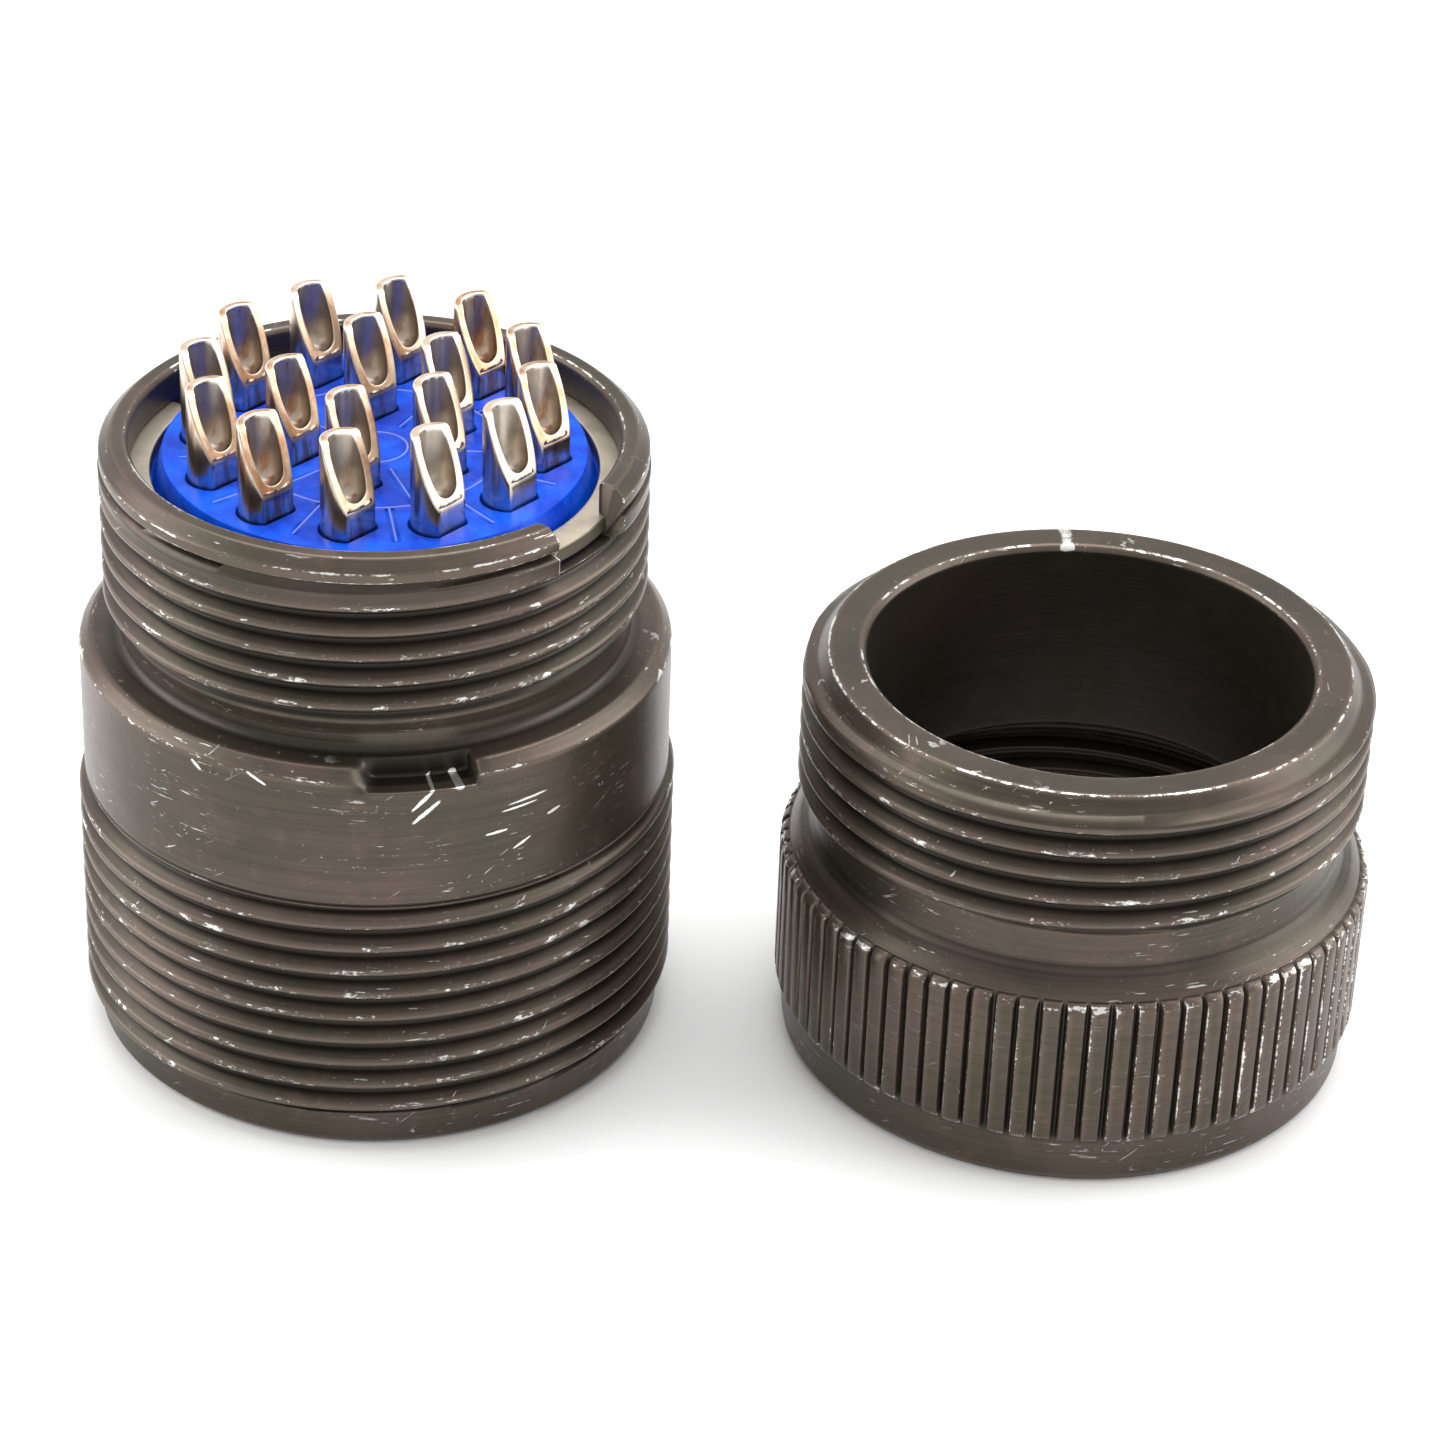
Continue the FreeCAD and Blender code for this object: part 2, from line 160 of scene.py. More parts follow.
class Shading:
    """A material's node tree, built from values and expressions."""

    def __init__(self, name: str) -> None:
        """Start an empty node material with a Principled shader.

        Args:
            name: The material's name.
        """
        self.material = bpy.data.materials.new(name)
        self.material.use_nodes = True
        self.tree = self.material.node_tree
        self.tree.nodes.clear()
        self.shader = self.tree.nodes.new("ShaderNodeBsdfPrincipled")
        output = self.tree.nodes.new("ShaderNodeOutputMaterial")
        self.tree.links.new(self.shader.outputs[0], output.inputs[0])

    def node(self, kind: str, settings: dict[str, Any], inputs: dict[Any, Any]) -> bpy.types.Node:
        """Add one node of any type.

        Args:
            kind: The node's type name.
            settings: Properties of the node, set first.
            inputs: Numbers, colours or links, by socket name or number.

        Returns:
            The new node.
        """
        made = self.tree.nodes.new(kind)
        for name, setting in settings.items():
            setattr(made, name, setting)
        for name, given in inputs.items():
            if isinstance(given, Value):
                self.tree.links.new(given.socket, made.inputs[name])
            elif isinstance(given, bpy.types.NodeSocket):
                self.tree.links.new(given, made.inputs[name])
            else:
                made.inputs[name].default_value = given
        return made

    def set(self, name: str, given: Any) -> None:
        """Set or link one input of the Principled shader.

        Args:
            name: The input's name.
            given: A number or colour, a value, or a socket to link.
        """
        if isinstance(given, Value):
            self.tree.links.new(given.socket, self.shader.inputs[name])
        elif isinstance(given, bpy.types.NodeSocket):
            self.tree.links.new(given, self.shader.inputs[name])
        else:
            self.shader.inputs[name].default_value = given

    def mark(self, which: Mark) -> Value:
        """A number kept on the mesh's points."""
        made = self.node("ShaderNodeAttribute", {"attribute_name": which.value}, {})
        return Value(self.tree, made.outputs["Fac"])

    def place(self) -> bpy.types.NodeSocket:
        """The point's place in the piece's own axes, in millimetres.

        Returns:
            The place as a vector socket.
        """
        coordinates = self.node("ShaderNodeTexCoord", {}, {})
        inputs = {0: coordinates.outputs["Object"], "Scale": 1 / MM}
        return self.node("ShaderNodeVectorMath", {"operation": "SCALE"}, inputs).outputs[0]

    def stretched(self, place: bpy.types.NodeSocket, factors: Triple) -> bpy.types.NodeSocket:
        """The place with each axis multiplied by its factor."""
        made = self.node("ShaderNodeVectorMath", {"operation": "MULTIPLY"}, {0: place, 1: factors})
        return made.outputs[0]

    def turned(self, place: bpy.types.NodeSocket, degrees: Triple) -> bpy.types.NodeSocket:
        """The place turned about the three axes.

        Args:
            place: The place.
            degrees: Turns about x, y and z.

        Returns:
            The turned place.
        """
        angles = tuple(math.radians(d) for d in degrees)
        made = self.node("ShaderNodeMapping", {}, {"Vector": place, "Rotation": angles})
        return made.outputs[0]

    def noise(self, place: bpy.types.NodeSocket, scale: float, detail: float, roughness: float) -> Value:
        """Fractal noise from 0 to 1.

        Args:
            place: The place that it varies over.
            scale: Its fineness, per millimetre.
            detail: How many finer layers it has.
            roughness: How strong the finer layers are.

        Returns:
            The noise.
        """
        inputs = {"Vector": place, "Scale": scale, "Detail": detail, "Roughness": roughness}
        made = self.node("ShaderNodeTexNoise", {}, inputs)
        return Value(self.tree, made.outputs[0])

    def step(self, value: Value, low: float, high: float) -> Value:
        """A smooth rise from 0 at low to 1 at high.

        Args:
            value: The value.
            low: Where the rise starts.
            high: Where it ends.

        Returns:
            The risen value.
        """
        inputs = {"Value": value, "From Min": low, "From Max": high}
        made = self.node("ShaderNodeMapRange", {"interpolation_type": "SMOOTHSTEP"}, inputs)
        return Value(self.tree, made.outputs[0])

    def mixed(self, factor: Any, first: Any, second: Any) -> bpy.types.NodeSocket:
        """A colour between two colours.

        Args:
            factor: 0 for the first, 1 for the second.
            first: A colour or a link.
            second: A colour or a link.

        Returns:
            The mixed colour.
        """
        settings = {"data_type": "RGBA", "clamp_factor": True}
        made = self.node("ShaderNodeMix", settings, {0: factor, 6: rgba(first), 7: rgba(second)})
        return made.outputs[2]

    def bump(self, height: Value, strength: float, depth: float) -> bpy.types.NodeSocket:
        """A bumped normal from a height; depth is in millimetres."""
        inputs = {"Height": height, "Strength": strength, "Distance": depth * MM}
        return self.node("ShaderNodeBump", {}, inputs).outputs[0]


def rgba(colour: Any) -> Any:
    """A colour with its alpha added, or a link as it is."""
    return (*colour, 1.0) if isinstance(colour, tuple) and len(colour) == 3 else colour


# ---------------------------------------------------------------- finishes


@dataclass(frozen=True)
class Scratch:
    """A straight gouge on a turned face; the slant is in degrees from level."""

    azimuth: float
    height: float
    length: float
    width: float
    slant: float
    radius: float = 15.5

    def mask(self, s: Shading, angle: Value, rise: Value, rough: Value) -> Value:
        """1 inside the gouge.

        Args:
            s: The shading to add to.
            angle: Angle round the axis, in radians.
            rise: Height in millimetres.
            rough: Noise that makes the edges ragged.

        Returns:
            The mask.
        """
        across = (angle - math.radians(self.azimuth)) * self.radius
        up = rise - self.height
        c, d = math.cos(math.radians(self.slant)), math.sin(math.radians(self.slant))
        along = abs(across * c + up * d) * (2 / self.length)
        side = abs(up * c - across * d) * (2 / self.width)
        body = s.step(1.55 - side * (1.0 + along * along) - 1.3 * rough, 0.0, 0.35)
        return s.step(1.0 - along, 0.0, 0.25) * body


@dataclass(frozen=True)
class OlivePlating:
    """Dark olive-brown plating over turned metal, worn to bright metal on its edges."""

    name: str = "olive_plating_finish"
    brown: Triple = (0.086, 0.063, 0.050)
    green: Triple = (0.062, 0.052, 0.036)
    rose: Triple = (0.130, 0.082, 0.068)
    crest: Triple = (0.150, 0.110, 0.088)
    # dark colour of the turning lines, also the painted shade of hollows and inner surfaces
    turning_lines_and_shade: Triple = (0.010, 0.008, 0.006)
    bare: Triple = (0.72, 0.71, 0.68)
    roughness: float = 0.36
    bare_roughness: float = 0.38
    marks: float = 1.0
    scratches: tuple[Scratch, ...] = ()

    def material(self) -> bpy.types.Material:
        """Build the node material.

        Returns:
            The material.
        """
        s = Shading(self.name)
        place = s.place()
        edge = s.mark(Mark.EDGE)
        convex = edge.above(0.0)
        hollow = (-edge).above(0.0)

        broad = s.noise(place, 0.11, 3.0, 0.5)
        clouds = s.noise(place, 0.55, 5.0, 0.6)
        grains = s.noise(place, 2.6, 6.0, 0.7)
        rings = s.noise(s.stretched(place, (0.10, 0.10, 7.0)), 1.0, 5.0, 0.65)

        tint = s.mixed(s.step(broad, 0.40, 0.62), self.green, self.brown)
        tint = s.mixed(s.step(clouds, 0.50, 0.80) * 0.6, tint, self.rose)
        tint = s.mixed(s.step(rings, 0.35, 0.75) * 0.35, tint, self.turning_lines_and_shade)
        tint = s.mixed(s.step(convex, 0.1, 0.7) * 0.5, tint, self.crest)
        # painted shade: hollows such as thread roots, knurl grooves, inner corners, fillets and the notch
        # are darkened
        tint = s.mixed(s.step(hollow, 0.05, 0.9) * 0.85, tint, self.turning_lines_and_shade)

        lengths = s.noise(place, 0.34, 3.0, 0.6)
        chips = s.noise(s.stretched(place, (1.0, 1.0, 2.6)), 1.7, 5.0, 0.75)
        dash = 0.45 * lengths + 0.55 * chips
        worn_edge = s.step(dash + 0.36 * (convex - 0.66), 0.56, 0.60) * s.step(convex, 0.1, 0.3)

        specks = s.step(s.noise(place, 1.9, 7.0, 0.82), 0.635, 0.675)
        patches = s.step(s.noise(place, 0.16, 2.0, 0.5), 0.44, 0.60)
        dashes = s.step(s.noise(s.stretched(place, (0.55, 0.55, 6.5)), 1.0, 3.0, 0.7), 0.64, 0.69)
        slanted = s.stretched(s.turned(place, (0.0, 38.0, 20.0)), (0.5, 0.5, 7.5))
        strokes = s.step(s.noise(slanted, 1.0, 2.0, 0.6), 0.70, 0.74)
        marks = (specks * (0.30 + 0.70 * patches)).above(dashes * patches * 0.85)
        marks = marks.above(strokes * patches * 0.8)
        axes = s.node("ShaderNodeSeparateXYZ", {}, {0: place})
        x, y, z = (Value(s.tree, axes.outputs[i]) for i in range(3))
        outside = 1.0 - s.mark(Mark.TONE)
        # painted shade: the inner surfaces of the bores and the cavity are darkened towards the same colour
        tint = s.mixed(0.45 - 0.45 * outside, tint, self.turning_lines_and_shade)
        reached = outside * self.marks * 0.75 * (1.0 - s.step(hollow, 0.0, 0.3))
        bare = (worn_edge * outside).above(marks * reached)
        angle = y.bearing(x)
        for scratch in self.scratches:
            bare = bare.above(scratch.mask(s, angle, z, chips))

        s.set("Base Color", s.mixed(bare, tint, self.bare))
        s.set("Metallic", 0.62 + 0.3 * bare)
        change = self.bare_roughness - self.roughness
        s.set("Roughness", self.roughness + 0.16 * (grains - 0.5) + change * bare)
        height = 0.5 * rings + 0.35 * grains - 0.6 * bare
        s.set("Normal", s.bump(height, 0.45, 0.02))
        return s.material


@dataclass(frozen=True)
class MouldedPlastic:
    """Moulded thermoset plastic with a faint orange-peel surface."""

    name: str
    colour: Triple
    deep: Triple
    roughness: float

    def material(self) -> bpy.types.Material:
        """Build the node material.

        Returns:
            The material.
        """
        s = Shading(self.name)
        place = s.place()
        edge = s.mark(Mark.EDGE)
        flow = s.noise(place, 0.5, 4.0, 0.55)
        peel = s.noise(place, 5.0, 3.0, 0.5)
        dust = s.step(s.noise(place, 4.5, 5.0, 0.8), 0.70, 0.76)
        tint = s.mixed(s.step(flow, 0.35, 0.70), self.deep, self.colour)
        # painted shade: hole walls, the ridges' margins and inner corners are darkened towards the deep
        # colour
        tint = s.mixed(s.step((-edge).above(0.0), 0.2, 1.0) * 0.7, tint, self.deep)
        # pale colour for real dust specks and for a painted highlight on ridge tops and hole bevels
        dust_and_highlight = tuple(0.55 * c + 0.45 for c in self.colour)
        tint = s.mixed((dust * 0.22).above(s.step(edge, 0.4, 1.0) * 0.42), tint, dust_and_highlight)
        s.set("Base Color", tint)
        s.set("Roughness", self.roughness + 0.14 * (peel - 0.5) + 0.12 * dust)
        s.set("Specular IOR Level", 0.16)
        s.set("Normal", s.bump(0.6 * flow + 0.4 * peel, 0.35, 0.03))
        return s.material


@dataclass(frozen=True)
class ContactPlate:
    """Bright silver plating, warm gold where a cup was cut and near its edges."""

    name: str = "contact_plate_finish"
    silver: Triple = (0.62, 0.55, 0.47)
    gold: Triple = (0.80, 0.61, 0.43)
    copper: Triple = (0.56, 0.33, 0.19)
    amber: Triple = (0.50, 0.20, 0.07)
    shade: Triple = (0.20, 0.165, 0.14)
    # near-white painted highlight on the cup's rounded rim
    lip: Triple = (0.95, 0.92, 0.88)

    def material(self) -> bpy.types.Material:
        """Build the node material.

        Returns:
            The material.
        """
        s = Shading(self.name)
        place = s.place()
        cut = s.mark(Mark.CUT).above(0.0)
        bore = (-s.mark(Mark.CUT)).above(0.0)
        edge = s.mark(Mark.EDGE).above(0.0)
        tone = s.mark(Mark.TONE)
        patch = s.noise(place, 0.9, 3.0, 0.55)
        streaks = s.noise(s.stretched(place, (2.2, 2.2, 0.35)), 1.0, 4.0, 0.6)
        fine = s.noise(place, 9.0, 3.0, 0.6)
        warm = s.step(cut * 0.75 + 0.45 * patch + 0.25 * tone, 0.55, 1.05)
        tint = s.mixed(s.step(streaks, 0.45, 0.75) * 0.45, self.silver, self.shade)
        flash = s.mixed(s.step(patch + 0.25 * tone - 0.12, 0.42, 0.66), self.gold, self.copper)
        tint = s.mixed(warm * (1.0 - 0.8 * edge), tint, flash)
        amber = s.step(streaks + 0.3 * tone - 0.5 * edge, 0.70, 0.86) * (1.0 - 0.5 * cut)
        tint = s.mixed(amber * 0.8, tint, self.amber)
        tint = s.mixed(bore * 0.65 * patch, tint, self.shade)
        # painted highlight: the cup's rim corners are whitened, most at the crown
        tint = s.mixed(s.step(edge, 0.55, 0.95), tint, self.lip)
        s.set("Base Color", tint)
        s.set("Metallic", 1.0)
        s.set("Roughness", 0.17 + 0.12 * fine + 0.12 * cut + 0.14 * bore)
        s.set("Normal", s.bump(0.7 * streaks + 0.3 * fine, 0.25, 0.02))
        return s.material


@dataclass(frozen=True)
class SpringSteel:
    """Satin plated spring steel, cream in soft light."""

    name: str = "spring_steel_finish"
    cream: Triple = (0.52, 0.455, 0.365)
    grey: Triple = (0.30, 0.26, 0.20)
    # painted shade for the ring's outer face, sunk in the shell's groove
    groove_shade: Triple = (0.13, 0.12, 0.085)

    def material(self) -> bpy.types.Material:
        """Build the node material.

        Returns:
            The material.
        """
        s = Shading(self.name)
        place = s.place()
        brushed = s.noise(s.stretched(place, (3.0, 3.0, 0.6)), 1.0, 5.0, 0.65)
        cloud = s.noise(place, 0.6, 3.0, 0.5)
        tint = s.mixed(s.step(cloud, 0.45, 0.75) * 0.6, self.cream, self.grey)
        tint = s.mixed(s.step(brushed, 0.55, 0.80) * 0.3, tint, self.grey)
        # painted shade: the ring's outer face, which sits in the shell's groove, is darkened
        s.set("Base Color", s.mixed(s.mark(Mark.TONE) * 0.85, tint, self.groove_shade))
        s.set("Metallic", 0.75)
        s.set("Roughness", 0.38 + 0.15 * (brushed - 0.5))
        s.set("Normal", s.bump(brushed, 0.25, 0.02))
        return s.material


@dataclass(frozen=True)
class PaperFloor:
    """Plain matt white paper under the parts."""

    name: str = "paper_floor_finish"
    white: Triple = (0.90, 0.90, 0.90)

    def material(self) -> bpy.types.Material:
        """Build the node material.

        Returns:
            The material.
        """
        s = Shading(self.name)
        fibres = s.noise(s.place(), 0.8, 4.0, 0.6)
        s.set("Base Color", s.mixed(fibres * 0.04, self.white, (0.80, 0.80, 0.80)))
        s.set("Roughness", 0.9)
        s.set("Specular IOR Level", 0.1)
        return s.material


# ---------------------------------------------------------------- turned surfaces


@dataclass
class Rows:
    """Part of a turned surface: rows along its outline, columns round its axis."""

    r: np.ndarray
    z: np.ndarray
    edge: np.ndarray
    lift: int = 0

    def reversed(self) -> "Rows":
        """The same rows in the other order, for an inside surface."""
        return Rows(self.r[::-1], self.z[::-1], self.edge[::-1], -self.lift)


def rounded(corners: Outline, radius: float, longest: float = 1.5) -> list[Triple]:
    """Round an outline's corners and mark them.

    Args:
        corners: (radius, height) points, in order, each with its wear as a third number if not the usual.
        radius: Corner radius, less where a side is short.
        longest: Longest stretch left without a point.

    Returns:
        (radius, height, edge) points; edge is 1 on a ridge, -1 in a hollow and 0 on a plain stretch.
    """
    points = np.array([corner[:2] for corner in corners], float)
    wear = [corner[2] if len(corner) > 2 else 0.55 for corner in corners]
    done: list[Triple] = [(*points[0], 0.0)]
    for before, corner, after, worn in zip(points[:-2], points[1:-1], points[2:], wear[1:]):
        back, ahead = before - corner, after - corner
        reach = min(radius, 0.42 * np.hypot(*back), 0.42 * np.hypot(*ahead))
        start = corner + back / np.hypot(*back) * reach
        end = corner + ahead / np.hypot(*ahead) * reach
        turn = back[0] * ahead[1] - back[1] * ahead[0]
        sharpness = abs(turn) / (np.hypot(*back) * np.hypot(*ahead))
        kind = worn if turn < 0 else -0.8 * min(1.0, 1.6 * sharpness)
        for t in (0.0, 0.33, 0.67, 1.0):
            spot = (1 - t) ** 2 * start + 2 * t * (1 - t) * corner + t**2 * end
            done.append((*spot, kind if 0 < t < 1 else 0.6 * kind))
    done.append((*points[-1], 0.0))
    filled = [done[0]]
    for last, point in zip(done[:-1], done[1:]):
        gap = math.hypot(point[0] - last[0], point[1] - last[1])
        if gap > 5 * radius:
            share = 1.6 * radius / gap
            between = np.linspace(share, 1 - share, max(2, int(gap / longest) + 2))[1:-1]
            for t in (share, *between, 1 - share):
                filled.append((last[0] + (point[0] - last[0]) * t, last[1] + (point[1] - last[1]) * t, 0.0))
        filled.append(point)
    return filled


def turned(corners: Outline, columns: np.ndarray, radius: float = 0.1) -> Rows:
    """Rows of a plain turned surface with rounded corners.

    Args:
        corners: (radius, height) points of its outline.
        columns: Angles round the axis.
        radius: Corner radius.

    Returns:
        The rows.
    """
    points = np.array(rounded(corners, radius))
    shape = (len(points), len(columns))
    spread = [np.broadcast_to(points[:, i : i + 1], shape).copy() for i in range(3)]
    return Rows(*spread)


def thread_depth(pitch: float) -> float:
    """Radial depth of a standard 60 degree thread of this pitch."""
    return (pitch * 5 / 16) * math.sqrt(3)


@dataclass
class Thread:
    """A right-handed screw thread cut into a turned blank.

    The cut is as deep as its fade allows, and never stands out of the blank, so that the ends run out.
    """

    crest_r: float
    bottom: float
    turns: float
    blank: Outline
    inward: bool = False
    start: float = 0.0
    pitch: float = THREAD_PITCH
    fade_low: Pair = (-9.0, -8.0)
    fade_high: Pair = (90.0, 91.0)
    crest_round: float = 0.15
    root_round: float = 0.12

    @property
    def depth(self) -> float:
        """Radial depth of the thread."""
        return thread_depth(self.pitch)

    def outline(self) -> list[Triple]:
        """One pitch of the thread: (share of the pitch, height from 0 to 1, edge) points.

        Returns:
            The points, the last one short of the next pitch.
        """
        flat, root = self.pitch * 0.22, self.pitch * 0.2
        flank = (self.pitch - flat - root) / 2
        corners = [(0.0, 0.0), (root / 2, 0.0), (root / 2 + flank, 1.0), (root / 2 + flank + flat, 1.0)]
        corners += [(self.pitch - root / 2, 0.0), (self.pitch, 0.0)]
        rise = self.depth
        points: list[Triple] = [(0.0, 0.0, -1.0)]
        for number in range(1, 5):
            spot = np.array([corners[number][0], corners[number][1] * rise])
            back = np.array([corners[number - 1][0], corners[number - 1][1] * rise]) - spot
            ahead = np.array([corners[number + 1][0], corners[number + 1][1] * rise]) - spot
            crest = number in (2, 3)
            reach = self.crest_round if crest else self.root_round
            for t in (0.0, 0.5, 1.0):
                start = spot + back / np.hypot(*back) * reach
                end = spot + ahead / np.hypot(*ahead) * reach
                x, h = (1 - t) ** 2 * start + 2 * t * (1 - t) * spot + t**2 * end
                outer = (number == 2 and t == 0) or (number == 3 and t == 1)
                edge = (0.35 if outer else 0.66) if crest else -0.8
                points.append((x / self.pitch, h / rise, edge))
        return points

    def rows(self, low: float, high: float, columns: np.ndarray) -> Rows:
        """Rows that climb with the thread between two heights, drawn together at each end.

        Args:
            low: Height of the plain ring that the rows start from.
            high: Height of the plain ring that they end at.
            columns: Angles round the axis, from 0 up to less than a turn.

        Returns:
            The rows; one time round climbs by one outline.
        """
        outline = np.array(self.outline())
        first = math.floor((low - self.bottom) / self.pitch) - 2
        last = math.ceil((high - self.bottom) / self.pitch)
        turn = np.repeat(np.arange(first, last + 1), len(outline))[:, None]
        share = np.tile(outline[:, 0], last + 1 - first)[:, None]
        height = np.tile(outline[:, 1], last + 1 - first)[:, None]
        edge = np.tile(outline[:, 2], last + 1 - first)[:, None]
        wound = turn + share + columns[None, :] / TURN + self.start
        z = np.clip(self.bottom + wound * self.pitch, low, high)
        full = smooth(wound, *self.fade_low) * (1 - smooth(wound, *self.fade_high))
        cut = self.depth * (1 - height) * full
        limit = np.interp(z, [p[1] for p in self.blank], [p[0] for p in self.blank])
        side = -1 if self.inward else 1
        r = side * np.minimum(side * limit, side * self.crest_r - cut)
        ends = (z <= low) | (z >= high)
        r = np.where(ends, limit, r)
        trimmed = side * limit < side * self.crest_r - cut - 0.01
        edge = np.where(ends, 0.0, np.where(trimmed, 0.25, edge * np.minimum(1, 0.3 + full)))
        return Rows(r, z, edge, len(outline))


def smooth(value: np.ndarray, low: float, high: float) -> np.ndarray:
    """Smooth rise from 0 at low to 1 at high.

    Args:
        value: The value.
        low: Where the rise starts.
        high: Where it ends.

    Returns:
        The risen value.
    """
    t = np.clip((value - low) / (high - low), 0, 1)
    return t * t * (3 - 2 * t)


def around(r: Any, angle: np.ndarray, z: Any) -> np.ndarray:
    """Points at a distance from an axis, at each angle round it and a height."""
    return np.stack(np.broadcast_arrays(r * np.cos(angle), r * np.sin(angle), z), axis=-1)


@dataclass
class Skin:
    """A closed turned surface that is joined up from rows."""

    columns: np.ndarray
    r: np.ndarray = field(init=False)
    z: np.ndarray = field(init=False)
    edge: np.ndarray = field(init=False)
    angle: np.ndarray = field(init=False)
    landing: np.ndarray = field(init=False)

    def lay(self, parts: list[Rows]) -> None:
        """Stack the parts, and note where each row lands after one time round.

        Args:
            parts: The parts, each starting where the one before ends.
        """
        self.r = np.vstack([p.r for p in parts])
        self.z = np.vstack([p.z for p in parts])
        self.edge = np.vstack([np.broadcast_to(p.edge, p.r.shape) for p in parts])
        self.angle = np.broadcast_to(self.columns[None, :], self.r.shape).copy()
        landing, start = [], 0
        for part in parts:
            count = len(part.r)
            landing.append(start + np.clip(np.arange(count) + part.lift, 0, count - 1))
            start += count
        self.landing = np.concatenate(landing)

    def knock(self, seed: int, least_r: float, depth: float = 0.10) -> None:
        """Knock the outside ridges a little out of true.

        Args:
            seed: Seed of the waves that place the knocks.
            least_r: Radius inside which nothing is knocked.
            depth: Depth of the deepest knock.
        """
        rng = np.random.default_rng(seed)
        waves = np.zeros_like(self.r)
        for _ in range(14):
            turns, climbs, phase = rng.integers(9, 90), rng.uniform(0.5, 9.0), rng.uniform(0, TURN)
            waves += np.sin(turns * self.angle + climbs * self.z + phase)
        dents = smooth(waves, 4.5, 11.0) * np.clip(self.edge, 0, 1)
        self.r = self.r - np.where(self.r > least_r, depth * dents, 0.0)

    def mesh(self, name: str, inside: np.ndarray) -> bpy.types.Mesh:
        """Make the mesh, with points that meet joined into one.

        Args:
            name: The mesh's name.
            inside: True at the points that hands and tools do not reach; the plating paints these in shade.

        Returns:
            The mesh.
        """
        points = around(self.r * MM, self.angle, self.z * MM)
        rows, count = self.r.shape
        index = np.arange(rows * count).reshape(rows, count)
        after = np.hstack([index[:, 1:], index[self.landing, 0][:, None]])
        corners = np.stack([index[:-1], after[:-1], after[1:], index[1:]], axis=-1).reshape(-1, 4)
        marks = {Mark.EDGE: self.edge.reshape(-1), Mark.TONE: inside.reshape(-1).astype(float)}
        return joined_mesh(name, points.reshape(-1, 3), corners, marks)


def joined_mesh(name: str, points: np.ndarray, faces: Any, marks: dict[Mark, np.ndarray]) -> bpy.types.Mesh:
    """Mesh with coincident points merged and collapsed faces left out.

    Args:
        name: The mesh's name.
        points: Places in metres.
        faces: Corner numbers of each face.
        marks: Numbers for the points, by mark.

    Returns:
        The mesh, shaded smooth.
    """
    keys = np.round(points * 1e7).astype(np.int64)
    _, first, inverse = np.unique(keys, axis=0, return_index=True, return_inverse=True)
    inverse = inverse.reshape(-1)
    clean = []
    for face in faces:
        ring = [int(inverse[i]) for i in face]
        ring = [p for n, p in enumerate(ring) if p != ring[n - 1]]
        if len(set(ring)) == len(ring) and len(ring) > 2:
            clean.append(ring)
    mesh = bpy.data.meshes.new(name)
    mesh.from_pydata(points[first].tolist(), [], clean)
    for mark, numbers in marks.items():
        kept = mesh.attributes.new(mark.value, "FLOAT", "POINT")
        kept.data.foreach_set("value", numbers[first].astype(np.float32))
    mesh.validate()
    mesh.polygons.foreach_set("use_smooth", [True] * len(mesh.polygons))
    mesh.update()
    return mesh


def add_piece(mesh: bpy.types.Mesh, body: Body, finish: bpy.types.Material,
              nodes: tuple[str, ...], centre: Pair = (0.0, 0.0)) -> bpy.types.Object:
    """Put a finished mesh in the scene as a piece of the object.

    Args:
        mesh: Its mesh, about its own axis.
        body: The rigid body that carries it.
        finish: Its material.
        nodes: CAD nodes that it stands for.
        centre: Its axis in the frame, in millimetres.

    Returns:
        The object.
    """
    piece = bpy.data.objects.new(mesh.name, mesh)
    bpy.context.scene.collection.objects.link(piece)
    piece.location = (centre[0] * MM, centre[1] * MM, 0.0)
    mesh.materials.append(finish)
    evened = piece.modifiers.new("even_shading", "WEIGHTED_NORMAL")
    evened.weight = 60
    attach(piece, body.value)
    if nodes:
        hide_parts(*nodes)
    LOG.info("%s: %d faces on %s", piece.name, len(mesh.polygons), body.value)
    return piece


def node_box(node: str) -> tuple[Vector, Vector]:
    """A CAD node's lowest and highest corners, in millimetres."""
    low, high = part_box(node)
    return low / MM, high / MM


def even_columns(count: int) -> np.ndarray:
    """Angles of evenly spaced columns, one time round."""
    return np.arange(count) * TURN / count


# ---------------------------------------------------------------- connector shell


